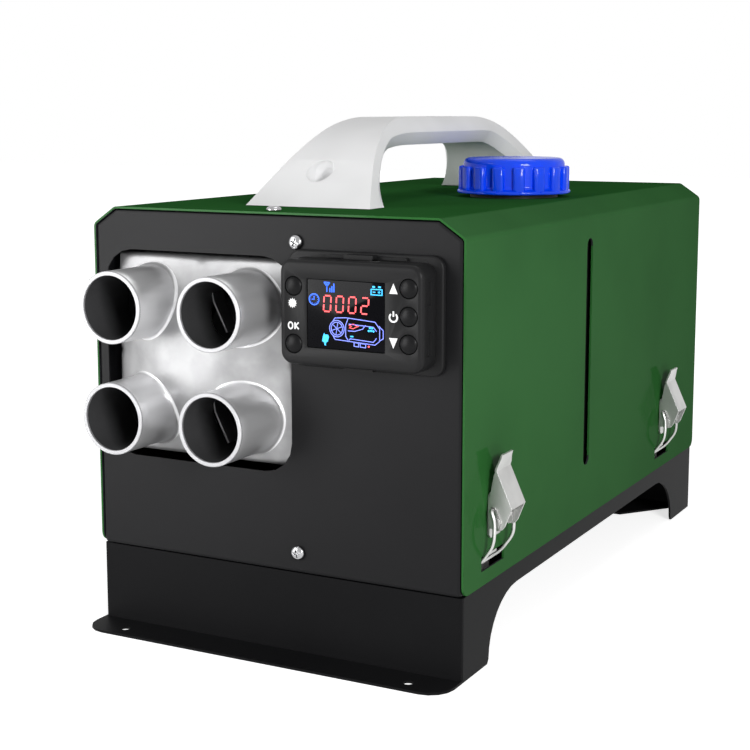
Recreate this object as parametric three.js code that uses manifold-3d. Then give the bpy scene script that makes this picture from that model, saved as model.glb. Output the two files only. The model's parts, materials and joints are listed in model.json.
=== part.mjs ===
// Portable diesel air heater: a folded steel base, a green lift-off case held down by four
// over-centre latches, a cast four-outlet air manifold, a control panel, a carrying handle,
// a fuel tank with a screw cap, and the burner, heat exchanger and blower inside.
// Millimetres. X is the width, Y the depth (front at -Y), Z up, floor at Z 0.
import * as THREE from "three";
import { mergeVertices } from "three/addons/utils/BufferGeometryUtils.js";
import Module from "manifold-3d";

// ---------------------------------------------------------------- driving dimensions
const fit = 0.3; // gap between pieces that seat on each other
const hair = 0.01; // keeps two corner arcs from meeting
const roundShare = 0.3; // where the middle of a rounded edge lies between its ends
const through = 1; // how far a cutting tool runs past what it cuts

// Case
const caseWidth = 245;
const caseLength = 437;
const caseTop = 256.3; // top plate above the floor
const shellSheet = 1.2;
const shellBend = 4;
const shellLift = 0.8; // gap between the base and the shell's lower edge
const chamferWide = 15.4;
const chamferHigh = 10.4;
const shellCorner = 6; // round on the lower corners of the shell's sides
const panelSheet = 1.2;
const panelFlange = 14; // depth of the panels' turned edges
const panelBend = 2.5;
const leastBend = 0.2;

// Base
const baseHeight = 48.5;
const baseInset = 1; // base wall inside the case wall
const baseSheet = 1.5;
const baseCorner = 2;
const toeDepth = 24.5; // front floor flange
const toeCorner = 15;
const toeHoleRadius = 3;
const toeHoleSide = 96;
const toeHoleOut = 14.7; // hole centre in front of the base wall
const heelDepth = 50; // rear floor flange, turned inwards
const heelCut = 38; // slanted corner of the rear flange
const archHeight = 37.3;
const archEnd = 40.5; // length of the arch's rounded ends
const frontLeg = 38;
const rearLeg = 50;
const legCorner = 2.5;

// Level slot in the right side
const levelY = 191;
const levelWidth = 10.5;
const levelBottom = 84.5;
const levelTop = 232.3;

// Latches, measured from the case side; u is the distance off the surface
const latchFront = 40; // centre of the front pair behind the front edge
const latchRear = 82; // centre of the rear pair ahead of the rear edge
const slotLength = 31.9;
const slotBottom = 57.7;
const slotTop = 66.5;
const pivotOut = 5.5;
const pivotZ = 85.4;
const pivotRadius = 1.6;
const pivotHeadRadius = 3.6;
const pivotHead = 0.8;
const bailIn = 1.6; // bail hole inside the pivot, which makes the latch lock over centre
const bailUp = 7.1; // bail hole above the pivot
const wireRadius = 1.1;
const bailBottomGap = 28; // between the bail's leg centres at the slot
const leverWidth = 20;
const leverSheet = 1.2;
const leverFootOut = 15.5;
const leverFootUp = 8.5; // lower end of the lever face above the pivot
const leverKneeOut = 6;
const leverKneeUp = 29.5;
const leverTipOut = 8.5;
const leverTipUp = 38.2;
const leverLip = 15;
const leverLipCut = 2; // length of the lip's straight side edges
const leverBend = 2;
const wingRound = 4.6;
const wingBack = 8; // top of the wings' straight rear edge above the pivot
const wingSeam = 0.4; // wings' edges inside the face's edges
const earSheet = 1.2;
const earTip = 3; // ear past the pivot
const earNose = 2.4;
const earTop = 10;
const plateSheet = 1.2;
const plateHeight = 26;
const plateRise = 3; // plate's centre above the pivot
const plateCorner = 2;
const hookSheet = 1.5;
const hookWidth = 18;
const hookLip = 4.5;
const hookFoot = 12;
const hookBend = 2.1;
const hookPlay = 0.25; // above the bail's cross-bar, besides the fit
const barDepth = 2.2; // bail cross-bar centre inside the case side
const barZ = 62;

// Manifold with four outlets
const outletRadius = 21;
const outletWall = 2;
const outletZ = 168.9;
const outletSideRoom = 7.3; // between an outlet and the duct's side
const outletTopRoom = 6.7; // between an outlet and the duct's top or bottom
const outletReach = 38; // outlet ends in front of the panel
const outletFlare = 4.5;
const outletFlareLength = 17;
const outletEdge = 0.6;
const boreBack = 8; // how far the bores run on into the duct
const ductSide = 10.9; // duct inside the case's left side
const ductOver = 1.3; // how much wider the duct is than half the case
const ductHeight = 120;
const ductCorner = 16;
const ductWall = 3;
const domeRise = 10; // top of the dome in front of the panel
const domeSink = 14; // edge of the dome behind the panel
const domeFlat = 8; // half the dome's flat top, across its narrower way
const domeTopCorner = 6;
const ductBack = 40;
const openingGap = 2.4; // between the duct and the panel's opening

// Controller
const controlZ = 203.6;
const controlLeft = 15; // left edge of the bracket from the middle of the case
const controlRight = 11.5; // bracket inside the case's right side
const cableRadius = 7;
const bracketHeight = 65.4;
const bracketThick = 3;
const bracketCorner = 7;
const bezelInset = 4.25; // bezel inside the bracket's side edges
const bezelHeight = 58;
const bezelFront = 20; // bezel face in front of the panel
const bezelCorner = 7;
const bezelEdge = 3;
const bezelWall = 1.8;
const screenRoom = 39.5; // what the key columns take of the bezel's width
const screenHeight = 38;
const screenSink = 0.5;
const screenCorner = 1;
const pocketBend = 1;
const clipWidth = 18;
const clipThick = 2.4;
const clipCorner = 0.8;
const screenOff = -2.4; // screen centre from the bezel centre
const boardThick = 1.6;
const boardBack = 7; // board behind the bezel wall
const buttonRadius = 5.2;
const buttonRise = 1.6;
const buttonTravel = 0.8;
const buttonLip = 0.6;
const buttonStem = 2; // stem inside the key's edge
const buttonCrown = 0.8;
const buttonInset = 8.2; // button centres from the bezel's side edges
const buttonStep = 15.6;

// Handle
const handleStart = 43; // front foot behind the front edge
const handleLength = 301;
const handleHeight = 54;
const handleFootWidth = 88;
const handleBarWidth = 34;
const handleFootDepth = 18;
const handleShoulder = 88; // length of each curved end
const handleClear = 35; // finger room above the top plate
const handleInner = 82;
const handlePull = 0.56; // where the top line's curve is pulled to, as a share of its length
const innerPull = 0.69;
const waistShare = 0.85; // height at which the handle has drawn in to the bar
const waistCurve = 1.15;
const waistSteps = 6;
const dimpleRadius = 8.2;
const dimpleDepth = 7;
const dimpleLean = 40; // degrees
const dimpleAt = 31; // dimple centre behind the handle's end
const handleScrewIn = 24;

// Fuel cap, neck and tank
const capOff = 8.65; // cap nearer the middle of the case than the tank's centre line
const capY = 211;
const capRadius = 37.25;
const capHeight = 23;
const capGap = 2.5; // cap skirt above the top plate
const capWall = 3;
const capSkirt = 4;
const capStep = 0.7; // skirt outside the grips
const capRound = 4.5; // rounded shoulder
const threadRoom = 1.2; // between the neck and the cap
const capGrips = 18;
const gripWidth = 6.4;
const gripDepth = 2.2;
const capLift = 45;
const neckRadius = 29;
const neckWall = 3;
const neckRoom = 1; // round the neck where it passes the top plate
const neckFlange = 36;
const neckFlangeThick = 2.5;
const sealThick = 2;
const sealWidth = 7;
const tankFront = 62;
const tankRear = 85; // tank ahead of the rear edge
const tankBottom = 70;
const tankHeight = 172;
const tankWall = 3;
const tankCorner = 14;
const tankEdge = 6;
const tankFootWidth = 16;
const tankFootShare = 0.15; // feet from the tank's ends, as a share of its length
const tankFootLeft = 12;
const tankFootRight = 18; // leaves room for the latch hooks
const tankDividerGap = 7;
const tankSideGap = 3; // tank wall inside the case side, behind the level slot

// Divider between heater and tank
const dividerSheet = 1.2;
const dividerFlange = 14;
const dividerBend = 2;

// Heater unit
const casingInsetX = 2.9; // casing inside the duct's outline
const casingInsetZ = 3;
const casingCorner = 14;
const casingWall = 2.5;
const cradleSheet = 1.5;
const cradleInset = 5;
const cradleFoot = 12;
const cradleStart = 80;
const cradleRear = 97; // cradle ahead of the rear edge
const cradleBend = 3;
const cradleRoom = 1; // round what passes through the cradle
const windowFront = 15; // side windows inside the cradle's front end
const windowRear = 60;
const windowLow = 14;
const windowHigh = 16;
const coreRadius = 34;
const coreWall = 3;
const coreStart = 62;
const coreLength = 190;
const finCount = 16;
const finThick = 2.4;
const burnerRadius = 26;
const burnerWall = 2;
const burnerLength = 120;
const burnerFlange = 38;
const burnerFlangeThick = 4;
const plugRadius = 4;
const plugLength = 34;
const motorRadius = 27;
const motorLength = 56;
const motorStart = 300;
const motorEar = 10;
const shaftRadius = 3;
const shaftOut = 28; // shaft past the motor at each end
const hotFanRadius = 48;
const hotFanHub = 17;
const hotFanDepth = 18;
const hotFanBlades = 7;
const hotFanPitch = 38; // degrees
const smallFanRadius = 30;
const smallFanDepth = 14;
const smallFanBlades = 10;

// Pipes, pump and controls
const pipeRadius = 12;
const pipeWall = 1.5;
const exhaustY = 225;
const intakeY = 262;
const pipeEnd = 20; // pipe ends above the floor
const pipeOff = 9.7; // pipes to the right of the outlets' centre
const pipeRoom = 2; // round a pipe where it passes the base
const portDepth = 9; // how deep the pipe ports are cut
const inletOff = 24; // burner inlet to the right of the pipes
const pumpSide = 23.7; // pump's axis inside the cradle's left side
const pumpZ = 80;
const pumpRadius = 13;
const pumpStart = 200;
const pumpLength = 82;
const nippleRadius = 3;
const nippleLength = 12;
const nippleRoom = 2; // round the hose where it enters the casing
const clampThick = 2;
const clampWidth = 16;
const filterRadius = 9;
const filterLength = 38;
const hoseRadius = 3.6;
const hoseRoom = 3; // round a hose where it passes the divider
const spigotY = 110;
const spigotZ = 84;
const spigotRadius = 3;
const spigotWall = 1.2;
const spigotOut = 3; // spigot past the divider
const ecuSide = 27.7; // control unit inside the case's right side, clear of the hooks
const ecuGap = 8; // behind the tank
const ecuWidth = 56;
const ecuDepth = 46;
const ecuHeight = 22;
const grilleRadius = 54;
const grilleThick = 2.5;
const grilleBand = 7; // width of the outer ring
const grilleHub = 12;
const intakeRim = 6; // how far the guard overlaps its hole
const grilleBar = 2.4;
const socketSide = 42.5; // power inlet inside the right side of the case
const socketZ = 88;
const socketRadius = 10;
const socketFlange = 15;

// Screws
const screwHead = 4.3;
const screwDome = 2.6;
const screwShank = 1.9;
const screwLength = 8;
const panelScrewX = 18.4;
const panelScrewTop = 240;
const panelScrewBottom = 61;
const topScrewX = -11;
const topScrewY = 9;

// ---------------------------------------------------------------- sizes that follow
const sideX = caseWidth / 2;
const ductWidth = sideX + ductOver;
const outletX = ductSide + ductWidth / 2 - sideX; // centre of the four outlets
const outletStepX = ductWidth / 2 - outletRadius - outletSideRoom;
const outletStepZ = ductHeight / 2 - outletRadius - outletTopRoom;
const domeRun = Math.min(ductWidth, ductHeight) / 2 - domeFlat;
const bracketWidth = sideX - controlLeft - controlRight;
const controlX = controlLeft + bracketWidth / 2;
const bezelWidth = bracketWidth - 2 * bezelInset;
const screenWidth = bezelWidth - screenRoom;
const casingWidth = ductWidth - 2 * casingInsetX;
const casingHeight = ductHeight - 2 * casingInsetZ;
const cradleHalf = casingWidth / 2 - cradleInset;
const cradleLength = caseLength - cradleStart - cradleRear;
const tankLength = caseLength - tankFront - tankRear;
const socketX = sideX - socketSide;
const pipeX = outletX + pipeOff;
const pumpX = outletX - cradleHalf + pumpSide;
const shellBottom = baseHeight + shellLift;
const plateInner = caseTop - shellSheet;
const panelBottom = baseHeight + fit;
const panelInset = shellSheet + fit;
const baseSide = sideX - baseInset;
const casingBottom = outletZ - casingHeight / 2;
const handleBase = caseTop + fit;
const neckTop = caseTop + capGap + capHeight - capWall - sealThick - 2 * fit;
const tankTop = tankBottom + tankHeight;
const dividerX = outletX + ductWidth / 2 + 2 * fit;
const tankLeft = dividerX + dividerSheet + tankDividerGap;
const tankRight = sideX - shellSheet - tankSideGap;
const capX = (tankLeft + tankRight) / 2 - capOff;
const shaftY = [motorStart - shaftOut, motorStart + motorLength + shaftOut];
const shellLine = [
  [sideX, shellBottom],
  [sideX, caseTop - chamferHigh],
  [sideX - chamferWide, caseTop],
  [chamferWide - sideX, caseTop],
  [-sideX, caseTop - chamferHigh],
  [-sideX, shellBottom],
];

// ---------------------------------------------------------------- solids
const wasm = await Module();
wasm.setup();

// A closed geometry as a solid that can be joined and cut.
function toSolid(geometry) {
  const bare = geometry.clone();
  bare.deleteAttribute("normal");
  bare.deleteAttribute("uv");
  const merged = mergeVertices(bare, 1e-4);
  const vertProperties = merged.attributes.position.array;
  const triVerts = new Uint32Array(merged.index.array);
  return new wasm.Manifold(new wasm.Mesh({ numProp: 3, vertProperties, triVerts }));
}

// A solid as a geometry with one flat normal for each facet.
function toGeometry(solid) {
  const mesh = solid.getMesh();
  const indexed = new THREE.BufferGeometry();
  indexed.setAttribute("position", new THREE.BufferAttribute(mesh.vertProperties, 3));
  indexed.setIndex(new THREE.BufferAttribute(mesh.triVerts, 1));
  const flat = indexed.toNonIndexed();
  flat.computeVertexNormals();
  return flat;
}

const join = (first, ...others) => others.reduce((all, one) => all.add(one), first);
const cut = (first, ...tools) => tools.reduce((all, one) => all.subtract(one), first);

// ---------------------------------------------------------------- outlines
// Every corner is [x, y] or [x, y, radius]; a radius makes it round.
function outline(corners, steps = 4) {
  const points = [];
  corners.forEach(([x, y, radius = 0], i) => {
    const here = new THREE.Vector2(x, y);
    const last = corners[(i + corners.length - 1) % corners.length];
    const next = corners[(i + 1) % corners.length];
    const back = new THREE.Vector2(last[0], last[1]).sub(here).normalize();
    const ahead = new THREE.Vector2(next[0], next[1]).sub(here).normalize();
    if (radius <= 0) points.push(here);
    else points.push(...cornerArc(here, back, ahead, radius, steps));
  });
  return points;
}

// The arc that rounds the corner between two directions.
function cornerArc(corner, back, ahead, radius, steps) {
  const half = Math.acos(THREE.MathUtils.clamp(back.dot(ahead), -1, 1)) / 2;
  const middle = back.clone().add(ahead).normalize();
  const centre = corner.clone().addScaledVector(middle, radius / Math.sin(half));
  const start = corner.clone().addScaledVector(back, radius / Math.tan(half)).sub(centre);
  const turn = (Math.PI - 2 * half) * Math.sign(back.cross(ahead)) * -1;
  const arc = [];
  for (let i = 0; i <= steps; i++) {
    arc.push(start.clone().rotateAround(new THREE.Vector2(), (turn * i) / steps).add(centre));
  }
  return arc;
}

const box2 = (x0, y0, x1, y1, r = 0) => [[x0, y0, r], [x1, y0, r], [x1, y1, r], [x0, y1, r]];

// A rectangle round a centre.
function centred(x, y, width, height, radius = 0) {
  return box2(x - width / 2, y - height / 2, x + width / 2, y + height / 2, radius);
}

function circle(x, y, radius, sides = 24) {
  const points = [];
  for (let i = 0; i < sides; i++) {
    const a = (2 * Math.PI * i) / sides;
    points.push(new THREE.Vector2(x + radius * Math.cos(a), y + radius * Math.sin(a)));
  }
  return points;
}

// The line that runs at a distance on the left of an open line.
function leftOf(line, distance) {
  const ways = line.slice(1).map(([x, y], i) => {
    return new THREE.Vector2(x - line[i][0], y - line[i][1]).normalize();
  });
  return line.map(([x, y], i) => {
    const a = ways[Math.max(i - 1, 0)];
    const b = ways[Math.min(i, ways.length - 1)];
    const stretch = distance / (1 + a.dot(b));
    return [x - (a.y + b.y) * stretch, y + (a.x + b.x) * stretch];
  });
}

// The section of a sheet bent along a line, with the sheet on the line's left.
function bentSheet(line, sheet, bend) {
  const inner = leftOf(line, sheet);
  const radii = line.map((point, i) => {
    if (i === 0 || i === line.length - 1) return [0, 0];
    const [ax, ay] = [point[0] - line[i - 1][0], point[1] - line[i - 1][1]];
    const [bx, by] = [line[i + 1][0] - point[0], line[i + 1][1] - point[1]];
    return ax * by - ay * bx > 0 ? [bend, bend - sheet] : [bend - sheet, bend];
  });
  const right = line.map(([x, y], i) => [x, y, radii[i][0]]);
  const left = inner.map(([x, y], i) => [x, y, radii[i][1]]);
  return outline([...right, ...left.reverse()], 3);
}

// ---------------------------------------------------------------- forms
// A flat outline, with holes, drawn out along Z, Y or X.
function extruded(points, holes, depth) {
  const shape = new THREE.Shape(points);
  shape.holes = holes.map((hole) => new THREE.Path(hole));
  return new THREE.ExtrudeGeometry(shape, { depth, bevelEnabled: false });
}

function alongZ(points, z0, z1, holes = []) {
  return toSolid(extruded(points, holes, z1 - z0).translate(0, 0, z0));
}

function alongY(points, y0, y1, holes = []) {
  const form = extruded(points, holes, y1 - y0).rotateX(Math.PI / 2);
  return toSolid(form.translate(0, y1, 0));
}

function alongX(points, x0, x1, holes = []) {
  const turn = new THREE.Matrix4().set(0, 0, 1, 0, 1, 0, 0, 0, 0, 1, 0, 0, 0, 0, 0, 1);
  return toSolid(extruded(points, holes, x1 - x0).applyMatrix4(turn).translate(x0, 0, 0));
}

// A profile of [radius, height] turned about Z, listed from the bottom outwards and up.
function turned(profile, sides = 24) {
  const points = profile.map(([r, h]) => new THREE.Vector2(r, h));
  return new THREE.LatheGeometry(points, sides).rotateX(Math.PI / 2);
}

const turnedAt = (profile, x, y, z, sides) => toSolid(turned(profile, sides).translate(x, y, z));

// The same about an axis along Y, with heights growing towards the front.
function turnedForward(profile, x, y, z, sides) {
  return toSolid(turned(profile, sides).rotateX(Math.PI / 2).translate(x, y, z));
}

// The same with heights growing towards the back.
function turnedBack(profile, x, y, z, sides) {
  return toSolid(turned(profile, sides).rotateX(-Math.PI / 2).translate(x, y, z));
}

const rod = (radius, length) => [[0, 0], [radius, 0], [radius, length], [0, length]];

function tubeProfile(radius, wall, length) {
  const inner = radius - wall;
  return [[inner, 0], [radius, 0], [radius, length], [inner, length], [inner, 0]];
}

// A skin over rings of points, closed at both ends; every ring has as many points.
function loft(rings) {
  const count = rings[0].length;
  const position = rings.flat().flatMap((p) => [p.x, p.y, p.z]);
  const index = [];
  for (let r = 0; r + 1 < rings.length; r++) {
    for (let i = 0; i < count; i++) {
      const [a, b] = [r * count + i, r * count + ((i + 1) % count)];
      index.push(a, b, b + count, a, b + count, a + count);
    }
  }
  const last = (rings.length - 1) * count;
  for (let i = 1; i + 1 < count; i++) {
    index.push(0, i + 1, i, last, last + i, last + i + 1);
  }
  const skin = new THREE.BufferGeometry();
  skin.setAttribute("position", new THREE.Float32BufferAttribute(position, 3));
  skin.setIndex(index);
  return toSolid(skin);
}

const atY = (points, y) => points.map((p) => new THREE.Vector3(p.x, y, p.y));

// A round wire or hose along a smooth curve.
function wire(points, radius, sides, steps) {
  const curve = new THREE.CatmullRomCurve3(points.map((p) => new THREE.Vector3(...p)));
  const shape = new THREE.Shape(circle(0, 0, radius, sides));
  const options = { steps, bevelEnabled: false, extrudePath: curve };
  return toSolid(new THREE.ExtrudeGeometry(shape, options));
}

// A solid turned half round the vertical axis, for what repeats on the left side.
const halfTurn = (solid) => solid.rotate([0, 0, 180]);

// ---------------------------------------------------------------- the assembly
const heater = new THREE.Group();
const finish = (color, roughness, metalness) => ({ color, roughness, metalness });
const GREEN = finish(0x2f5c30, 0.35, 0.1);
const BLACK = finish(0x2a2a2c, 0.75, 0.1);
const CAST = finish(0xb9bbbd, 0.4, 0.9);
const STEEL = finish(0xc9cacc, 0.25, 1);
const WHITE = finish(0xdcdcda, 0.5, 0);
const BLUE = finish(0x0a28d8, 0.3, 0);
const GLOSS_BLACK = finish(0x0d0d0f, 0.25, 0);
const RUBBER = finish(0x18181a, 0.85, 0);
const NYLON = finish(0x2e2e30, 0.6, 0);
const SMOKED = finish(0x0a0b0c, 0.1, 0);
const BOARD = finish(0x1c5a34, 0.5, 0);
const TANK = finish(0x3a3b38, 0.6, 0);

function add(name, solid, look) {
  const mesh = new THREE.Mesh(toGeometry(solid), new THREE.MeshStandardMaterial(look));
  mesh.name = name;
  heater.add(mesh);
}

// ---------------------------------------------------------------- base and case
// The side wall's cut-out: a flat arch with rounded ends between two legs.
function archOutline() {
  const [start, end] = [frontLeg, caseLength - rearLeg];
  const points = [new THREE.Vector2(start - legCorner, -through)];
  const steps = 8;
  for (let i = 0; i <= steps; i++) {
    const a = (Math.PI / 2) * (i / steps);
    const y = start + archEnd * (1 - Math.cos(a));
    points.push(new THREE.Vector2(y, legCorner + (archHeight - legCorner) * Math.sin(a)));
  }
  const back = points.map((p) => new THREE.Vector2(start + end - p.x, p.y));
  return [...points, ...back.reverse()];
}

function makeBase() {
  const rear = caseLength - baseInset;
  const outer = outline(box2(-baseSide, baseInset, baseSide, rear, baseCorner), 2);
  const [x, y0, y1] = [baseSide - baseSheet, baseInset + baseSheet, rear - baseSheet];
  const inner = outline(box2(-x, y0, x, y1));
  const toe = outline([
    [-baseSide, y0],
    [-baseSide, baseInset - toeDepth, toeCorner],
    [baseSide, baseInset - toeDepth, toeCorner],
    [baseSide, y0],
  ]);
  const toeHole = (side) => circle(side * toeHoleSide, baseInset - toeHoleOut, toeHoleRadius, 12);
  const heel = outline([
    [-x, y1 + baseSheet / 2],
    [-x, y1],
    [heelCut - x, y1 - heelDepth],
    [x - heelCut, y1 - heelDepth],
    [x, y1],
    [x, y1 + baseSheet / 2],
  ]);
  const box = cut(alongZ(outer, 0, baseHeight), alongZ(inner, -through, baseHeight - baseSheet));
  const arched = cut(box, alongX(archOutline(), -caseWidth, caseWidth));
  const flanged = join(
    arched,
    alongZ(toe, 0, baseSheet, [toeHole(-1), toeHole(1)]),
    alongZ(heel, 0, baseSheet),
  );
  const hole = (y) => {
    return alongZ(circle(pipeX, y, pipeRadius + pipeRoom, 16), archHeight, baseHeight + through);
  };
  return cut(flanged, hole(exhaustY), hole(intakeY));
}

const latchYs = [latchFront, caseLength - latchRear];

function makeShell() {
  const section = bentSheet(shellLine, shellSheet, shellBend);
  const side = outline([
    [0, shellBottom, shellCorner],
    [caseLength, shellBottom, shellCorner],
    [caseLength, caseTop + through],
    [0, caseTop + through],
  ]);
  const folded = alongY(section, 0, caseLength).intersect(alongX(side, -caseWidth, caseWidth));
  const slots = latchYs.map((y) => {
    const span = box2(y - slotLength / 2, slotBottom, y + slotLength / 2, slotTop);
    return alongX(outline(span), -caseWidth, caseWidth);
  });
  const half = levelWidth / 2;
  const level = outline(box2(levelY - half, levelBottom, levelY + half, levelTop, half - hair));
  const hole = (x, y, r) => {
    const sides = r > screwHead ? 24 : 8;
    return alongZ(circle(x, y, r, sides), plateInner - through, caseTop + through);
  };
  return cut(
    folded,
    ...slots,
    alongX(level, 0, caseWidth),
    hole(capX, capY, neckRadius + neckRoom),
    hole(topScrewX, topScrewY, screwShank + fit),
    ...handleScrewYs.map((y) => hole(0, y, screwShank + fit)),
  );
}

// The panel's outline, inside the shell by the fit and then by an inset of its own.
function panelOutline(inset) {
  const line = leftOf(shellLine, panelInset + inset);
  line[0][1] = panelBottom + inset;
  line[line.length - 1][1] = panelBottom + inset;
  const radius = Math.max(shellBend - panelInset - inset, leastBend);
  return outline(line.map(([x, z]) => [x, z, radius]), 2);
}

// A panel with its edges turned in: rings from the open side to the face, round the bend.
function panelTray(faceY, inward) {
  const skin = (sheet, open) => {
    const rings = [atY(panelOutline(sheet), faceY + inward * open)];
    const bend = panelBend - sheet;
    for (let i = 2; i >= 0; i--) {
      const a = (Math.PI / 2) * (i / 2);
      const depth = sheet + bend * (1 - Math.sin(a));
      rings.push(atY(panelOutline(sheet + bend * (1 - Math.cos(a))), faceY + inward * depth));
    }
    const inOrder = [...rings.slice(0, 1), ...rings.slice(1).reverse()];
    return loft(inward > 0 ? inOrder : inOrder.reverse());
  };
  return cut(skin(0, panelFlange), skin(panelSheet, panelFlange + through));
}

function makeFrontPanel() {
  const opening = centred(
    outletX,
    outletZ,
    ductWidth + 2 * openingGap,
    ductHeight + 2 * openingGap,
    ductCorner + openingGap,
  );
  const cable = circle(controlX, controlZ, cableRadius, 12);
  return cut(
    panelTray(0, 1),
    alongY(outline(opening), -through, panelFlange / 2),
    alongY(cable, -through, panelFlange / 2),
    ...panelScrews.map(([x, z]) => {
      return alongY(circle(x, z, screwShank + fit, 10), -through, panelFlange / 2);
    }),
    alongZ(circle(topScrewX, topScrewY, screwShank + fit, 10), caseTop - screwLength - through, caseTop),
  );
}

function makeRearPanel() {
  const span = [caseLength - panelFlange / 2, caseLength + through];
  return cut(
    panelTray(caseLength, -1),
    alongY(circle(outletX, outletZ, grilleRadius - intakeRim, 32), ...span),
    alongY(circle(socketX, socketZ, socketRadius + fit, 16), ...span),
  );
}

// A wall between the hot side and the tank, with its edges turned towards the tank.
function makeDivider() {
  const start = panelSheet + fit;
  const end = caseLength - start;
  const line = [
    [dividerX + dividerFlange, start],
    [dividerX, start],
    [dividerX, end],
    [dividerX + dividerFlange, end],
  ];
  const section = bentSheet(line.reverse(), dividerSheet, dividerBend);
  const low = panelBottom + panelBend + fit;
  const high = plateInner - panelBend - 2 * fit;
  const holes = panelScrews.map(([x, z]) => {
    return alongY(circle(x, z, screwShank + fit, 10), 0, panelFlange / 2);
  });
  const fuel = alongX(circle(spigotY, spigotZ, hoseRadius + hoseRoom, 12), 0, tankLeft);
  return cut(alongZ(section, low, high), ...holes, fuel);
}

// ---------------------------------------------------------------- latches
// Latch pieces are made for the right side, with x as the distance off the case.
const latchHalf = leverWidth / 2;
const earOuter = latchHalf - leverSheet - fit;
const bailX = pivotOut - bailIn;
const bailZ = pivotZ + bailUp;

// The fixed plate: a flat sheet, two ears and the riveted pivot pin.
function makeLatchPlate() {
  const plate = centred(0, pivotZ + plateRise, 2 * earOuter, plateHeight, plateCorner);
  const sheet = alongX(outline(plate, 1), fit, fit + plateSheet);
  const ear = outline([
    [fit, pivotZ - wingRound],
    [pivotOut + earTip, pivotZ - earNose],
    [pivotOut + earTip, pivotZ + earNose],
    [fit, pivotZ + earTop],
  ]);
  const ears = [-1, 1].map((side) => {
    const inner = side * (earOuter - earSheet);
    return alongY(ear, Math.min(inner, side * earOuter), Math.max(inner, side * earOuter));
  });
  const reach = latchHalf + fit;
  const pin = alongY(circle(pivotOut, pivotZ, pivotRadius, 6), -reach, reach);
  const heads = [-1, 1].map((side) => {
    const [a, b] = [side * reach, side * (reach + pivotHead)];
    const disc = circle(pivotOut, pivotZ, pivotHeadRadius, 8);
    return alongY(disc, Math.min(a, b), Math.max(a, b));
  });
  return join(sheet, ...ears, pin, ...heads);
}

// The lever: a face bent outwards at its lip, between two wings that carry the pivot.
function makeLatchLever() {
  const foot = [leverFootOut, pivotZ + leverFootUp];
  const knee = [leverKneeOut, pivotZ + leverKneeUp];
  const tip = [leverTipOut, pivotZ + leverTipUp];
  const face = alongY(bentSheet([foot, knee, tip], leverSheet, leverBend), -latchHalf, latchHalf);
  const inner = leverKneeOut - leverSheet;
  const wing = outline([
    [pivotOut - wingRound, pivotZ - wingRound, wingRound - 10 * hair],
    [pivotOut + wingRound, pivotZ - wingRound, wingRound - 10 * hair],
    [leverFootOut - wingSeam, pivotZ + leverFootUp - wingSeam],
    [leverKneeOut - wingSeam, pivotZ + leverKneeUp],
    [inner - wingSeam, pivotZ + leverKneeUp - leverBend],
    [pivotOut - wingRound, pivotZ + wingBack],
  ], 2);
  const holes = [circle(pivotOut, pivotZ, pivotRadius + 2 * fit, 6)];
  holes.push(circle(bailX, bailZ, wireRadius + 2 * fit, 6));
  const wings = [-1, 1].map((side) => {
    const [a, b] = [side * (latchHalf - leverSheet), side * latchHalf];
    return alongY(wing, Math.min(a, b), Math.max(a, b), holes);
  });
  const trim = (side) => {
    const corner = outline([
      [side * (leverLip / 2), pivotZ + leverTipUp + through],
      [side * (leverLip / 2), pivotZ + leverTipUp - leverLipCut],
      [side * (latchHalf + through), pivotZ + leverKneeUp],
      [side * (latchHalf + through), pivotZ + leverTipUp + through],
    ]);
    return alongX(corner, 0, leverFootOut);
  };
  return cut(join(face, ...wings), trim(-1), trim(1));
}

// The wire bail: from one wing hole round the hook and back to the other wing. The points
// along its leg are chosen by hand, from the wing down to the middle of the cross-bar.
function makeLatchBail() {
  const top = latchHalf + wireRadius + pivotHead + 2 * fit;
  const low = bailBottomGap / 2;
  const end = latchHalf - leverSheet - fit;
  const leg = (side) => [
    [bailX, side * end, bailZ],
    [bailX, side * (top - 0.6), bailZ],
    [bailX + 0.9, side * (top + 0.5), bailZ - 1.2],
    [bailX + 2.6, side * (top + 0.9), pivotZ],
    [bailX + 2.2, side * (low + 0.3), pivotZ - 11],
    [1.6, side * low, barZ + 4.6],
    [-barDepth + 0.4, side * (low - 0.3), barZ + 0.5],
    [-barDepth, side * (low - 2.2), barZ],
  ];
  const right = leg(1);
  return wire([...leg(-1), ...right.reverse()], wireRadius, 5, 26);
}

// The hook: a strip riveted to the base, with a lip that holds the bail's cross-bar down.
function makeHook() {
  const lipUnder = barZ + wireRadius + fit + hookPlay;
  const lipEnd = -(shellSheet + fit);
  const stem = lipEnd - hookLip;
  const line = [
    [stem - hookFoot, baseHeight + fit],
    [stem, baseHeight + fit],
    [stem, lipUnder],
    [lipEnd, lipUnder],
  ];
  const foot = bentSheet(line, hookSheet, hookBend);
  return alongY(foot, -hookWidth / 2, hookWidth / 2);
}

const latchPieces = {
  latch_plate: [makeLatchPlate(), STEEL],
  latch_lever: [makeLatchLever(), STEEL],
  latch_bail: [makeLatchBail(), STEEL],
  latch_hook: [makeHook(), STEEL],
};

function addLatches() {
  const places = [
    ["front_right", latchYs[0], 1],
    ["rear_right", latchYs[1], 1],
    ["front_left", latchYs[0], -1],
    ["rear_left", latchYs[1], -1],
  ];
  for (const [place, y, side] of places) {
    for (const [piece, [solid, look]] of Object.entries(latchPieces)) {
      const turnedSolid = side > 0 ? solid : halfTurn(solid);
      add(`${piece}_${place}`, turnedSolid.translate([side * sideX, y, 0]), look);
    }
  }
}

// ---------------------------------------------------------------- manifold
// One ring of the duct, drawn in from its side walls by an inset.
function ductRing(inset, corner, y) {
  const box = centred(outletX, outletZ, ductWidth - 2 * inset, ductHeight - 2 * inset, corner);
  return atY(outline(box, 3), y);
}

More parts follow.
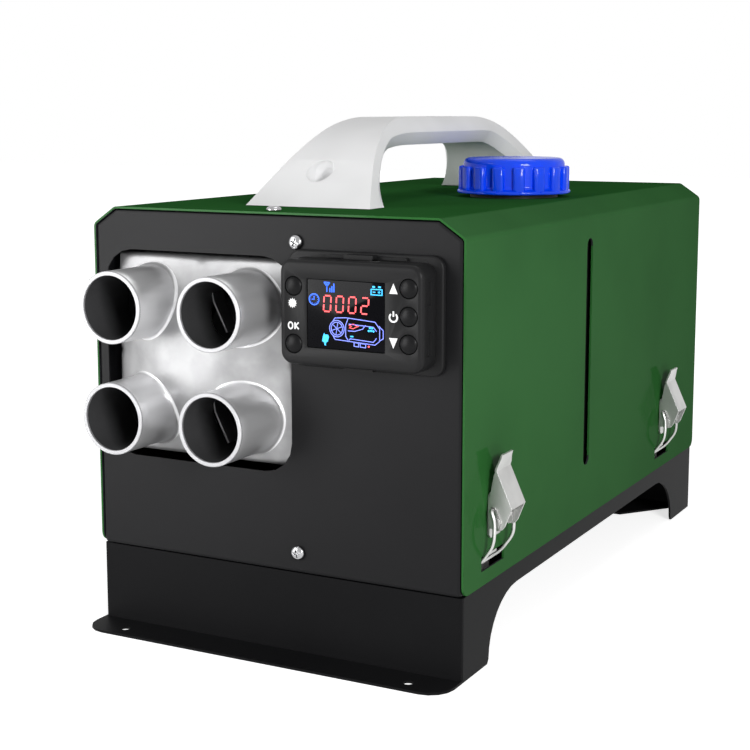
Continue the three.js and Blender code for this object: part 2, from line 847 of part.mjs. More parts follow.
// The domed box: straight side walls, then a pillow that rises towards its middle.
function ductSkin(wall, back) {
  const rings = [ductRing(wall, ductCorner - wall, back)];
  const steps = 5;
  for (let i = 0; i <= steps; i++) {
    const t = i / steps;
    const rise = t * t * (3 - 2 * t);
    const corner = THREE.MathUtils.lerp(ductCorner, domeTopCorner, t) - (1 - t) * wall * 0.5;
    const y = domeSink - (domeSink + domeRise) * rise + wall;
    rings.push(ductRing(wall * (1 - t) + domeRun * t, corner, y));
  }
  return loft(rings);
}

const outletCentres = [
  [-1, 1],
  [1, 1],
  [-1, -1],
  [1, -1],
].map(([i, k]) => [outletX + i * outletStepX, outletZ + k * outletStepZ]);

function makeManifold() {
  const length = outletReach + domeSink - ductWall;
  const flareEnd = outletRadius + outletFlare;
  const outlet = [
    [0, 0],
    [flareEnd, 0],
    [flareEnd, outletFlareLength * 0.75],
    [outletRadius + outletFlare * 0.35, outletFlareLength * 1.1],
    [outletRadius, outletFlareLength * 1.6],
    [outletRadius, length - outletEdge],
    [outletRadius - outletEdge, length],
    [0, length],
  ];
  const base = length - outletReach;
  const tubes = outletCentres.map(([x, z]) => turnedForward(outlet, x, base, z, 22));
  const bore = rod(outletRadius - outletWall, length + outletWall + boreBack);
  const bores = outletCentres.map(([x, z]) => turnedForward(bore, x, base + boreBack, z, 22));
  const body = ductSkin(0, ductBack);
  return cut(join(body, ...tubes), ductSkin(ductWall, ductBack + through), ...bores);
}

// ---------------------------------------------------------------- controller
const bezelBack = bracketThick + 2 * fit;
const frontInner = bezelFront - bezelWall;
const boardFront = frontInner - boardBack;
const buttonPlaces = {
  button_menu: [-1, 1],
  button_ok: [-1, -1],
  button_up: [1, 1],
  button_power: [1, 0],
  button_down: [1, -1],
};

function buttonCentre([side, row]) {
  const x = controlX + side * (bezelWidth / 2 - buttonInset);
  return [x, controlZ + row * buttonStep];
}

function makeBracket() {
  const plate = centred(controlX, controlZ, bracketWidth, bracketHeight, bracketCorner);
  const tab = (k) => {
    const z = controlZ + k * (bezelHeight / 2 + fit + clipThick / 2);
    const clip = outline(centred(controlX, z, clipWidth, clipThick, clipCorner), 2);
    return alongY(clip, -bezelFront / 2, -fit - through);
  };
  const hole = [circle(controlX, controlZ, cableRadius + through, 16)];
  const flat = alongY(outline(plate), -fit - bracketThick, -fit, hole);
  return join(flat, tab(-1), tab(1));
}

// The bezel: a rounded box open at the back, with the screen window and button holes.
function makeBezel() {
  const ring = (inset, corner, y) => {
    const box = centred(
      controlX,
      controlZ,
      bezelWidth - 2 * inset,
      bezelHeight - 2 * inset,
      corner,
    );
    return atY(outline(box), -y);
  };
  const rings = [ring(0, bezelCorner, bezelBack), ring(0, bezelCorner, bezelFront - bezelEdge)];
  const round = bezelEdge * roundShare;
  rings.push(ring(round, bezelCorner - round, bezelFront - round));
  rings.push(ring(bezelEdge, bezelCorner - bezelEdge, bezelFront));
  const pocket = [
    ring(bezelWall, bezelCorner - bezelWall, bezelBack - through),
    ring(bezelWall, bezelCorner - bezelWall, frontInner - pocketBend),
    ring(bezelWall + pocketBend, bezelCorner - bezelWall - pocketBend, frontInner),
  ];
  const screenX = controlX + screenOff;
  const screen = centred(screenX, controlZ, screenWidth, screenHeight, screenCorner);
  const [outside, inside] = [-bezelFront - through, -frontInner + through];
  const holes = Object.values(buttonPlaces).map((place) => {
    return alongY(circle(...buttonCentre(place), buttonRadius + fit, 14), outside, inside);
  });
  return cut(
    loft(rings),
    loft(pocket),
    alongY(outline(screen, 2), outside, inside),
    ...holes,
  );
}

function makeScreen() {
  const inset = 2 * fit;
  const glass = centred(
    controlX + screenOff,
    controlZ,
    screenWidth - inset,
    screenHeight - inset,
    screenCorner,
  );
  return alongY(outline(glass, 2), -bezelFront + screenSink, -boardFront - fit);
}

function makeControlBoard() {
  const inset = 2 * (bezelWall + fit);
  const board = centred(
    controlX,
    controlZ,
    bezelWidth - inset,
    bezelHeight - inset,
    bezelCorner - bezelWall,
  );
  return alongY(outline(board, 2), -boardFront, -boardFront + boardThick);
}

// A domed key with a lip that keeps it behind the bezel wall.
function makeButton(place) {
  const [x, z] = buttonCentre(place);
  const stem = boardBack - fit - buttonTravel;
  const lipTop = stem;
  const lipBottom = stem - buttonLip;
  const crown = stem + bezelWall + buttonRise;
  const profile = [
    [0, 0],
    [buttonRadius - buttonStem, 0],
    [buttonRadius - buttonStem, lipBottom - fit],
    [buttonRadius + buttonLip, lipBottom - fit],
    [buttonRadius + buttonLip, lipTop - fit],
    [buttonRadius, lipTop - fit],
    [buttonRadius, crown - buttonCrown],
    [buttonRadius * (1 - roundShare), crown - buttonCrown * roundShare ** 2],
    [0, crown],
  ];
  const base = -boardFront - fit - buttonTravel;
  return turnedForward(profile, x, base, z, 10);
}

// ---------------------------------------------------------------- handle
const handleScrewYs = [
  handleStart + handleScrewIn,
  handleStart + handleLength - handleScrewIn,
];

// Half of a curved line of the handle, from a foot up to the flat top.
function handleCurve(start, control, end, height, steps) {
  const a = new THREE.Vector2(start, 0);
  const b = new THREE.Vector2(control, height);
  const c = new THREE.Vector2(end, height);
  return new THREE.QuadraticBezierCurve(a, b, c).getPoints(steps);
}

function mirrored(points) {
  return points.map((p) => new THREE.Vector2(handleLength - p.x, p.y)).reverse();
}

// The side view: a low arch of even thickness that stands on two feet.
function handleSide() {
  const outer = handleCurve(0, handleShoulder * handlePull, handleShoulder, handleHeight - fit, 10);
  const inner = handleCurve(handleFootDepth, handleInner * innerPull, handleInner, handleClear, 8);
  const over = [...outer, ...mirrored(outer)];
  const under = [...inner, ...mirrored(inner)];
  const place = (p) => new THREE.Vector2(handleStart + p.x, handleBase + p.y);
  return [...over, ...under.reverse()].map(place);
}

// The front view: wide at the feet, drawn in to the bar.
function handleFront() {
  const half = (h) => {
    const t = Math.min(h / (handleHeight * waistShare), 1);
    return handleBarWidth / 2 + ((handleFootWidth - handleBarWidth) / 2) * (1 - t) ** waistCurve;
  };
  const heights = [];
  for (let i = 0; i <= waistSteps; i++) heights.push((handleHeight * waistShare * i) / waistSteps);
  const top = handleHeight + through;
  const right = [...heights, top].map((h) => new THREE.Vector2(half(h), handleBase + h));
  const left = right.map((p) => new THREE.Vector2(-p.x, p.y)).reverse();
  return [...right, ...left];
}

function makeHandle() {
  const side = alongX(handleSide(), -handleFootWidth, handleFootWidth);
  const front = alongY(handleFront(), handleStart - through, handleStart + handleLength + through);
  const outer = handleCurve(0, handleShoulder * handlePull, handleShoulder, handleHeight, 40);
  const at = outer.reduce((best, p) => {
    return Math.abs(p.x - dimpleAt) < Math.abs(best.x - dimpleAt) ? p : best;
  });
  const above = dimpleRadius + through;
  const profile = [[0, -dimpleDepth], [dimpleRadius, 0], [dimpleRadius, above], [0, above]];
  const cone = turned(profile, 20);
  const dimple = (end) => {
    const y = end < 0 ? handleStart + at.x : handleStart + handleLength - at.x;
    const lean = end * -THREE.MathUtils.degToRad(dimpleLean);
    return toSolid(cone.clone().rotateX(lean).translate(0, y, handleBase + at.y));
  };
  const bores = handleScrewYs.map((y) => {
    return alongZ(circle(0, y, screwShank + fit, 10), handleBase - through, handleBase + screwLength);
  });
  return cut(side.intersect(front), dimple(-1), dimple(1), ...bores);
}

// ---------------------------------------------------------------- cap, neck and tank
const capBase = caseTop + capGap;

function makeCap() {
  const inner = neckRadius + threadRoom;
  const roof = capHeight - capWall;
  const waist = capRadius - capStep;
  const soft = capRound * roundShare;
  const profile = [
    [inner, 0],
    [capRadius, 0],
    [capRadius, capSkirt],
    [waist, capSkirt + capStep],
    [waist, capHeight - capRound],
    [waist - soft, capHeight - soft],
    [waist - capRound, capHeight],
    [0, capHeight],
    [0, roof],
    [inner, roof],
    [inner, 0],
  ];
  const body = turnedAt(profile, 0, 0, 0, capGrips * 2);
  const grip = outline(centred(capRadius, 0, 2 * gripDepth, gripWidth));
  const groove = alongZ(grip, capSkirt + capStep, capHeight - capRound);
  const grooves = [];
  for (let i = 0; i < capGrips; i++) {
    grooves.push(groove.rotate([0, 0, (360 * (i + 0.5)) / capGrips]));
  }
  return cut(body, ...grooves).translate([capX, capY, capBase]);
}

function makeSeal() {
  const profile = tubeProfile(neckRadius, sealWidth, sealThick);
  return turnedAt(profile, capX, capY, neckTop + fit, 20);
}

function makeNeck() {
  const bottom = tankTop + fit;
  const height = neckTop - bottom;
  const inner = neckRadius - neckWall;
  const profile = [
    [inner, 0],
    [neckFlange, 0],
    [neckFlange, neckFlangeThick],
    [neckRadius, neckFlangeThick],
    [neckRadius, height],
    [inner, height],
    [inner, 0],
  ];
  return turnedAt(profile, capX, capY, bottom, 20);
}

// A blow-moulded box with rounded edges, shrunk by an inset.
function tankSkin(inset) {
  const corners = (more) => {
    const d = inset + more;
    const radius = tankCorner - more;
    const end = tankFront + tankLength;
    return outline(box2(tankLeft + d, tankFront + d, tankRight - d, end - d, radius), 2);
  };
  const layer = (more, z) => corners(more).map((p) => new THREE.Vector3(p.x, p.y, z));
  const [low, high] = [tankBottom + inset, tankTop - inset];
  const soft = tankEdge * roundShare;
  return loft([
    layer(tankEdge, low),
    layer(soft, low + soft),
    layer(0, low + tankEdge),
    layer(0, high - tankEdge),
    layer(soft, high - soft),
    layer(tankEdge, high),
  ]);
}

function makeTank() {
  const deep = tankWall + tankEdge;
  const mouth = alongZ(circle(capX, capY, neckRadius - neckWall, 20), tankTop - deep, tankTop + through);
  const reach = tankLeft - dividerX + spigotOut;
  const spigot = rod(spigotRadius, reach + tankWall / 2);
  const nozzle = turned(spigot, 10).rotateY(-Math.PI / 2);
  const outlet = toSolid(nozzle.translate(tankLeft + tankWall / 2, spigotY, spigotZ));
  const feet = [tankFootShare, 1 - tankFootShare].map((share) => {
    const y = tankFront + tankLength * share;
    const [y0, y1] = [y - tankFootWidth / 2, y + tankFootWidth / 2];
    const span = box2(y0, baseHeight + fit, y1, tankBottom + deep);
    return alongX(outline(span), tankLeft + tankFootLeft, tankRight - tankFootRight);
  });
  const body = join(tankSkin(0), outlet, ...feet);
  const bore = rod(spigotRadius - spigotWall, reach + 2 * tankWall);
  const drain = turned(bore, 10).rotateY(-Math.PI / 2);
  const drained = toSolid(drain.translate(tankLeft + tankWall * 1.5, spigotY, spigotZ));
  return cut(body, tankSkin(tankWall), mouth, drained);
}

// ---------------------------------------------------------------- heater unit
const casingFront = ductBack + fit;
const casingBack = caseLength - panelSheet - fit;

function makeCasing() {
  const outer = outline(centred(outletX, outletZ, casingWidth, casingHeight, casingCorner), 3);
  const inner = centred(
    outletX,
    outletZ,
    casingWidth - 2 * casingWall,
    casingHeight - 2 * casingWall,
    casingCorner - casingWall,
  );
  const body = alongY(outer, casingFront, casingBack, [outline(inner, 3)]);
  const [low, high] = [casingBottom - through, casingBottom + portDepth];
  const port = (y, r) => alongZ(circle(pipeX, y, r, 16), low, high);
  const [sx, sy] = burnerInlet;
  const inlet = alongZ(circle(sx, sy, nippleRadius + nippleRoom, 8), low, high);
  return cut(body, port(exhaustY, pipeRadius + fit), port(intakeY, pipeRadius + fit), inlet);
}

const cradleEnd = cradleStart + cradleLength;

// The cradle: an inverted channel with feet that lifts the heater off the base.
function makeCradle() {
  const half = cradleHalf;
  const top = casingBottom - fit;
  const low = baseHeight + fit;
  const line = [
    [outletX + half + cradleFoot, low + cradleSheet],
    [outletX + half, low + cradleSheet],
    [outletX + half, top],
    [outletX - half, top],
    [outletX - half, low + cradleSheet],
    [outletX - half - cradleFoot, low + cradleSheet],
  ];
  const channel = alongY(bentSheet(line, cradleSheet, cradleBend), cradleStart, cradleEnd);
  const hole = (x, y, r, sides) => alongZ(circle(x, y, r, sides), top - portDepth, top + through);
  const port = (y) => hole(pipeX, y, pipeRadius + cradleRoom, 12);
  const inlet = hole(...burnerInlet, nippleRadius + nippleRoom + cradleRoom, 8);
  const [front, rear] = [cradleStart + windowFront, cradleEnd - windowRear];
  const side = outline(box2(front, low + windowLow, rear, top - windowHigh));
  const sides = alongX(side, outletX - half - cradleBend, outletX + half + cradleBend);
  return cut(channel, port(exhaustY), port(intakeY), inlet, sides);
}

const burnerInlet = [pipeX + inletOff, intakeY];
const coreEnd = coreStart + coreLength;
const finReach = Math.min(casingWidth, casingHeight) / 2 - casingWall - fit;

// The heat exchanger: a tube closed at the front, with fins that run along it.
function makeCore() {
  const points = [];
  const pitch = (2 * Math.PI) / finCount;
  const atRoot = Math.asin(finThick / 2 / coreRadius);
  const atTip = Math.asin(finThick / 2 / finReach);
  const push = (r, a) => {
    points.push(new THREE.Vector2(outletX + r * Math.cos(a), outletZ + r * Math.sin(a)));
  };
  for (let i = 0; i < finCount; i++) {
    const a = i * pitch;
    push(coreRadius, a - atRoot);
    push(finReach, a - atTip);
    push(finReach, a + atTip);
    push(coreRadius, a + atRoot);
    push(coreRadius, a + pitch / 2);
  }
  const finned = alongY(points, coreStart, coreEnd);
  const bore = rod(coreRadius - coreWall, coreLength - coreWall);
  const hollow = turnedForward(bore, outletX, coreEnd + fit, outletZ, 20);
  const port = circle(pipeX, exhaustY, pipeRadius + cradleRoom, 14);
  const exit = alongZ(port, casingBottom, outletZ - coreRadius / 2);
  return cut(finned, hollow, exit);
}

// The combustion tube: a flanged sleeve inside the exchanger, with a row of air holes.
function makeBurner() {
  const inner = burnerRadius - burnerWall;
  const profile = [
    [0, 0],
    [burnerFlange, 0],
    [burnerFlange, burnerFlangeThick],
    [burnerRadius, burnerFlangeThick],
    [burnerRadius, burnerLength],
    [inner, burnerLength],
    [inner, burnerFlangeThick + 2],
    [0, burnerFlangeThick + 2],
  ];
  const back = coreEnd + fit + burnerFlangeThick;
  const sleeve = turnedForward(profile, outletX, back, outletZ, 20);
  const holeAt = back - burnerLength * 0.45;
  const hole = toSolid(turned(rod(3, 2 * burnerFlange), 6));
  const holes = [0, 1, 2, 3].map((i) => {
    const spoke = hole.translate([0, 0, 0]).rotate([0, 45 + 90 * i, 0]);
    return spoke.translate([outletX, holeAt, outletZ]);
  });
  const bore = rod(plugRadius + fit, 2 * burnerFlangeThick + 4);
  const seat = turnedForward(bore, outletX + plugOff, back + 3, outletZ, 10);
  return cut(sleeve, ...holes, seat);
}

const plugOff = 13;

function makeGlowPlug() {
  const flangeFace = coreEnd + 2 * fit + burnerFlangeThick;
  const profile = [
    [0, 0],
    [plugRadius - 1.5, 0],
    [plugRadius - 1.5, 5],
    [plugRadius + 2, 5],
    [plugRadius + 2, 9],
    [plugRadius, 9],
    [plugRadius, plugLength - 8],
    [plugRadius - 1.5, plugLength - 6],
    [plugRadius - 1.5, plugLength],
    [0, plugLength],
  ];
  return turnedForward(profile, outletX + plugOff, flangeFace + 9, outletZ, 10);
}

// The motor: a can with four arms that hold it in the casing.
function makeMotor() {
  const profile = [
    [shaftRadius + fit, 0],
    [motorRadius * 0.5, 0],
    [motorRadius * 0.5, 3],
    [motorRadius - 2, 3],
    [motorRadius, 5],
    [motorRadius, motorLength - 3],
    [motorRadius - 2, motorLength],
    [shaftRadius + fit, motorLength],
    [shaftRadius + fit, 0],
  ];
  const can = turnedBack(profile, outletX, motorStart, outletZ, 18);
  const up = casingHeight / 2 - casingWall - fit;
  const side = casingWidth / 2 - casingWall - fit;
  const [y0, y1] = [motorStart + 22, motorStart + 22 + motorEar];
  const upright = alongY(outline(centred(outletX, outletZ, 5, 2 * up)), y0, y1);
  const level = alongY(outline(centred(outletX, outletZ, 2 * side, 5)), y0, y1);
  const bore = alongY(circle(outletX, outletZ, motorRadius - 4, 12), y0 - 1, y1 + 1);
  return join(can, cut(join(upright, level), bore));
}

function makeShaft() {
  const length = shaftY[1] - shaftY[0];
  return turnedBack(rod(shaftRadius, length), outletX, shaftY[0], outletZ, 12);
}

// The hot-air fan: pitched blades round a domed hub, at the intake end.
function makeHotAirFan() {
  const start = shaftY[1] - hotFanDepth - 4;
  const bore = shaftRadius + fit;
  const hub = turned(
    [
      [bore, 0],
      [hotFanHub, 0],
      [hotFanHub, hotFanDepth - 5],
      [hotFanHub - 5, hotFanDepth],
      [bore, hotFanDepth],
      [bore, 0],
    ],
    14,
  );
  const blade = outline([
    [hotFanHub - 3, -6],
    [hotFanRadius - 3, -11, 4],
    [hotFanRadius, 10, 4],
    [hotFanHub - 3, 6],
  ], 2);
  const flat = toSolid(extruded(blade, [], 1.6).translate(0, 0, -0.8));
  const pitched = flat.rotate([hotFanPitch, 0, 0]).translate([0, 0, hotFanDepth / 2 - 1]);
  const trim = toSolid(turned(rod(bore, 3 * hotFanDepth), 12).translate(0, 0, -hotFanDepth));
  const blades = [];
  for (let i = 0; i < hotFanBlades; i++) {
    blades.push(pitched.rotate([0, 0, (360 * i) / hotFanBlades]));
  }
  const fan = cut(join(toSolid(hub), ...blades), trim);
  return fan.rotate([-90, 0, 0]).translate([outletX, start, outletZ]);
}

// The combustion air fan: a disc with curved vanes, at the burner end.
function makeSmallFan() {
  const start = shaftY[0] + 3;
  const bore = shaftRadius + fit;
  const disc = turned(
    [
      [bore, 0],
      [smallFanRadius, 0],
      [smallFanRadius, 2],
      [10, 3],
      [10, smallFanDepth],
      [bore, smallFanDepth],
      [bore, 0],
    ],
    20,
  );
  const vane = new THREE.Shape(vaneOutline());
  const wall = new THREE.ExtrudeGeometry(vane, { depth: smallFanDepth - 1, bevelEnabled: false });
  const single = toSolid(wall.translate(0, 0, 1));
  const vanes = [];
  for (let i = 0; i < smallFanBlades; i++) {
    vanes.push(single.rotate([0, 0, (360 * i) / smallFanBlades]));
  }
  const fan = join(toSolid(disc), ...vanes);
  return fan.rotate([-90, 0, 0]).translate([outletX, start, outletZ]);
}

// A thin vane that bends back as it runs outwards.
function vaneOutline() {
  const [inner, outer, bend, thick] = [13, smallFanRadius - 0.5, 7, 1.3];
  const spine = [0, 0.5, 1].map((t) => {
    return new THREE.Vector2(inner + (outer - inner) * t, bend * t * t);
  });
  const back = spine.map((p) => new THREE.Vector2(p.x - 0.3, p.y + thick)).reverse();
  return [...spine, ...back];
}

// ---------------------------------------------------------------- pipes, pump and controls
function makePipe(y, top) {
  const bead = 1.2;
  const inner = pipeRadius - pipeWall;
  const length = top - pipeEnd;
  const profile = [
    [inner, 0],
    [pipeRadius, 0],
    [pipeRadius, 4],
    [pipeRadius + bead, 5.5],
    [pipeRadius, 7],
    [pipeRadius, length],
    [inner, length],
    [inner, 0],
  ];
  return turnedAt(profile, pipeX, y, pipeEnd, 16);
}

// The dosing pump: a stepped body with a nipple at each end.
function makePump() {
  const end = pumpLength;
  const profile = [
    [0, -nippleLength],
    [nippleRadius, -nippleLength],
    [nippleRadius, 0],
    [pumpRadius * 0.6, 0],
    [pumpRadius * 0.6, 12],
    [pumpRadius, 14],
    [pumpRadius, end - 24],
    [pumpRadius * 0.75, end - 22],
    [pumpRadius * 0.75, end],
    [nippleRadius, end],
    [nippleRadius, end + nippleLength],
    [0, end + nippleLength],
  ];
  return turnedBack(profile, pumpX, pumpStart, pumpZ, 14);
}

// A band round the pump with a foot on the base.
function makeClamp() {
  const inner = pumpRadius + fit;
  const outer = inner + clampThick;
  const middle = pumpStart + pumpLength / 2 - 6;
  const [y0, y1] = [middle - clampWidth / 2, middle + clampWidth / 2];
  const ring = alongY(circle(pumpX, pumpZ, outer, 16), y0, y1);
  const low = baseHeight + fit;
  const foot = outline(box2(pumpX - outer, low, pumpX + outer, low + clampThick));
  const post = outline(centred(pumpX, (low + pumpZ) / 2, 6, pumpZ - low));
  const body = join(ring, alongY(foot, y0, y1), alongY(post, y0, y1));
  return cut(body, alongY(circle(pumpX, pumpZ, inner, 16), y0 - 1, y1 + 1));
}

const filterEnd = pumpStart - nippleLength - fit;

function makeFilter() {
  const profile = [
    [0, 0],
    [nippleRadius, 0],
    [nippleRadius, nippleLength],
    [filterRadius * 0.7, nippleLength],
    [filterRadius, nippleLength + 3],
    [filterRadius, filterLength - 3],
    [filterRadius * 0.7, filterLength],
    [0, filterLength],
  ];
  return turnedBack(profile, pumpX, filterEnd - filterLength, pumpZ, 12);
}

// From the tank's spigot, through the divider, to the filter.
function makeFuelHose() {
  const startX = dividerX - spigotOut - fit;
  const endY = filterEnd - filterLength - fit;
  return wire(
    [
      [startX, spigotY, spigotZ],
      [startX - 10, spigotY, spigotZ],
      [startX - 34, spigotY - 2, spigotZ - 4],
      [pumpX + 30, spigotY, pumpZ],
      [pumpX + 8, spigotY + 10, pumpZ],
      [pumpX, endY - 12, pumpZ],
      [pumpX, endY, pumpZ],
    ],
    hoseRadius,
    6,
    16,
  );
}

// From the pump up to the burner's inlet under the casing.
function makeBurnerHose() {
  const start = pumpStart + pumpLength + nippleLength + fit;
  const [x, y] = burnerInlet;
  const top = outletZ - burnerFlange - fit;
  return wire(
    [
      [pumpX, start, pumpZ],
      [pumpX, start + 8, pumpZ],
      [pumpX + 20, start + 16, pumpZ - 8],
      [x - 6, start + 6, pumpZ - 12],
      [x, y + 6, pumpZ],
      [x, y, casingBottom - 10],
      [x, y, casingBottom + 4],
      [x, y - 1, top - 6],
    ],
    nippleRadius,
    6,
    16,
  );
}

function makeControlUnit() {
  const x = sideX - ecuSide - ecuWidth / 2;
  const y = tankFront + tankLength + ecuGap + ecuDepth / 2;
  const low = baseHeight + fit;
  const body = outline(centred(x, y, ecuWidth, ecuDepth, 4), 2);
  const flange = outline(centred(x, y, ecuWidth + 16, ecuDepth * 0.6, 4), 2);
  const plug = outline(centred(x, y - ecuDepth / 2 + 6, ecuWidth * 0.6, 10));
  const fins = [-1.5, -0.5, 0.5, 1.5].map((i) => {
    const fin = outline(centred(x, y + 5 + i * 6, ecuWidth - 8, 2));
    return alongZ(fin, low + ecuHeight - 1, low + ecuHeight + 4);
  });
  return join(
    alongZ(body, low, low + ecuHeight),
    alongZ(flange, low, low + 2),
    alongZ(plug, low + ecuHeight - 1, low + ecuHeight + 6),
    ...fins,
  );
}

// The intake guard: rings and spokes in one flat piece.
function makeGrille() {
  const rings = 3;
  const spokes = 5;
  const first = grilleHub;
  const step = (grilleRadius - grilleBand - first) / rings;
  const holes = [];
  for (let r = 0; r < rings; r++) {
    for (let s = 0; s < spokes; s++) {
      const [a, b] = [first + r * step + grilleBar / 2, first + (r + 1) * step - grilleBar / 2];
      holes.push(sector(a, b, (2 * Math.PI * s) / spokes, (2 * Math.PI) / spokes));
    }
  }
  const face = caseLength + fit;
  const disc = alongY(circle(outletX, outletZ, grilleRadius, 32), face, face + grilleThick);
  return cut(disc, ...holes.map((hole) => alongY(hole, face - through, face + grilleThick + through)));
}

// One opening of the guard, between two rings and two spokes.
function sector(inner, outer, start, span) {
  const steps = 2;
  const arc = (r) => {
    const edge = Math.asin(grilleBar / 2 / r);
    const points = [];
    for (let i = 0; i <= steps; i++) {
      const a = start + edge + ((span - 2 * edge) * i) / steps;
      points.push(new THREE.Vector2(outletX + r * Math.cos(a), outletZ + r * Math.sin(a)));
    }
    return points;
  };
  return [...arc(outer), ...arc(inner).reverse()];
}

// A round power inlet with a recess and a flange outside the panel.
function makeSocket() {
  const depth = 16;
  const inner = socketRadius - 2;
  const profile = [
    [0, 0],
    [socketRadius, 0],
    [socketRadius, depth],
    [socketFlange, depth],
    [socketFlange, depth + 2],
    [inner, depth + 2],
    [inner, 6],
    [0, 6],
  ];
  return turnedBack(profile, socketX, caseLength + fit - depth, socketZ, 14);
}

// ---------------------------------------------------------------- screws
const panelScrews = [
  [panelScrewX, panelScrewTop],
  [panelScrewX, panelScrewBottom],
];

const screwProfile = [
  [0, -screwLength],
  [screwShank, -screwLength],
  [screwShank, 0],
  [screwHead, 0],
  [screwHead * 0.92, screwDome * 0.55],
  [screwHead * 0.6, screwDome * 0.9],
  [0, screwDome],
];

function addScrews() {
  panelScrews.forEach(([x, z], i) => {
    const name = i === 0 ? "panel_screw_top" : "panel_screw_bottom";
    add(name, turnedForward(screwProfile, x, -fit, z, 10), STEEL);
  });
  const topScrew = turnedAt(screwProfile, topScrewX, topScrewY, caseTop + fit, 10);
  add("top_screw", topScrew, STEEL);
  handleScrewYs.forEach((y, i) => {
    const name = i === 0 ? "handle_screw_front" : "handle_screw_rear";
    const upside = turned(screwProfile, 10).rotateX(Math.PI);
    add(name, toSolid(upside.translate(0, y, plateInner - fit)), STEEL);
  });
}

// ---------------------------------------------------------------- building
function addCase() {
  add("base_frame", makeBase(), BLACK);
  add("case_shell", makeShell(), GREEN);
  add("front_panel", makeFrontPanel(), BLACK);
  add("rear_panel", makeRearPanel(), BLACK);
  add("divider_panel", makeDivider(), BLACK);
  add("handle", makeHandle(), WHITE);
  add("intake_grille", makeGrille(), BLACK);
  add("power_socket", makeSocket(), GLOSS_BLACK);
}

function addController() {
  add("controller_bracket", makeBracket(), GLOSS_BLACK);
  add("controller_bezel", makeBezel(), GLOSS_BLACK);
  add("controller_board", makeControlBoard(), BOARD);
  add("lcd_screen", makeScreen(), SMOKED);
  for (const [name, place] of Object.entries(buttonPlaces)) {
    add(name, makeButton(place), RUBBER);
  }
}

function addFuelSystem() {
  add("fuel_cap", makeCap(), BLUE);
  add("cap_seal", makeSeal(), RUBBER);
  add("filler_neck", makeNeck(), NYLON);
  add("fuel_tank", makeTank(), TANK);
  add("fuel_pump", makePump(), STEEL);
  add("pump_clamp", makeClamp(), RUBBER);
  add("fuel_filter", makeFilter(), NYLON);
  add("fuel_hose", makeFuelHose(), RUBBER);
  add("burner_hose", makeBurnerHose(), RUBBER);
}

function addHeaterUnit() {
  add("air_manifold", makeManifold(), CAST);
  add("heater_casing", makeCasing(), NYLON);
  add("heater_cradle", makeCradle(), BLACK);
  add("heat_exchanger", makeCore(), CAST);
  add("burner_tube", makeBurner(), STEEL);
  add("glow_plug", makeGlowPlug(), STEEL);
  add("blower_motor", makeMotor(), STEEL);
  add("motor_shaft", makeShaft(), STEEL);
  add("hot_air_fan", makeHotAirFan(), NYLON);
  add("combustion_fan", makeSmallFan(), NYLON);
  add("control_unit", makeControlUnit(), CAST);
  add("exhaust_pipe", makePipe(exhaustY, outletZ - coreRadius + 6), STEEL);
  add("intake_pipe", makePipe(intakeY, casingBottom + casingWall + 4), RUBBER);
}

addCase();
addController();
addFuelSystem();
addHeaterUnit();
addLatches();
addScrews();

// The model's origin is the middle of its footprint, on the floor.
const frontMost = -outletReach;
const rearMost = caseLength + fit + grilleThick;
heater.position.y = -(frontMost + rearMost) / 2;

export default heater;
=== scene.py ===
"""Looks of a portable diesel air heater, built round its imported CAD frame.

Sizes in the classes are millimetres. X is to the right, Y runs from the front panel's face
to the back, and Z is up from the floor. place() turns such a point into metres in the row
frame, where every Blender object lives.
"""

from __future__ import annotations

import json
import logging
import math
from dataclasses import dataclass
from enum import Enum
from typing import Callable, Iterable, Sequence, TypeAlias

import bpy
from mathutils import Matrix, Vector

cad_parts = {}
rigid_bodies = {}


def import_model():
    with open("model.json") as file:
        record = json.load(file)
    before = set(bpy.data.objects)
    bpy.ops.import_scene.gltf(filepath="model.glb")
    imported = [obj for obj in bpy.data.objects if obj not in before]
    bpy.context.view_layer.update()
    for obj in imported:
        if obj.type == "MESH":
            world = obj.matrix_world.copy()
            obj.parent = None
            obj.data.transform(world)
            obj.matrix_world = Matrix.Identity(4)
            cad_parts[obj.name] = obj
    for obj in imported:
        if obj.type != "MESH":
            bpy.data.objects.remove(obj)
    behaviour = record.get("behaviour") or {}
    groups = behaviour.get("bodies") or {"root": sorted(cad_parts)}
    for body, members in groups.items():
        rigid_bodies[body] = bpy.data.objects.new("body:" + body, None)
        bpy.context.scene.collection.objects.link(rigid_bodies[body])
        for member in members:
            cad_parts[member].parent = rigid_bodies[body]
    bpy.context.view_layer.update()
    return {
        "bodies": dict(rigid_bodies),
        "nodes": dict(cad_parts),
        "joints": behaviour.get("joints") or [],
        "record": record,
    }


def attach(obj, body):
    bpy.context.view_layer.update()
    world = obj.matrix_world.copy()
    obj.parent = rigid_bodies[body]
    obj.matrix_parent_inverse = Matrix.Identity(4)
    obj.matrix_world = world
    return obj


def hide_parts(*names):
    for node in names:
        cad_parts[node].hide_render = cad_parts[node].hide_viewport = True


LOG = logging.getLogger("heater")
MM = 0.001
FRONT = -0.2009  # the front panel's face in the row frame
CLOSE = 0.000005  # points nearer than this are one, in metres
NEAR = 0.00001  # the same for spun forms and the CAD nodes' loose triangles
SKIN_CLOSE = 0.000002  # the same for fine skins
FLAT = 0.4  # faces that differ by less than this are one, in degrees
CREASE = 40.0  # edges sharper than this stay crisp on a turned piece, in degrees

Object = bpy.types.Object
Material = bpy.types.Material
Point2 = tuple[float, float]
Point3 = tuple[float, float, float]
Colour = tuple[float, float, float]
Shapes = list[list[Point2]]  # outlines in the panel's plane
Test = Callable[[Vector, Vector], bool]
Feed: TypeAlias = "Field | bpy.types.NodeSocket | float | tuple[float, ...]"

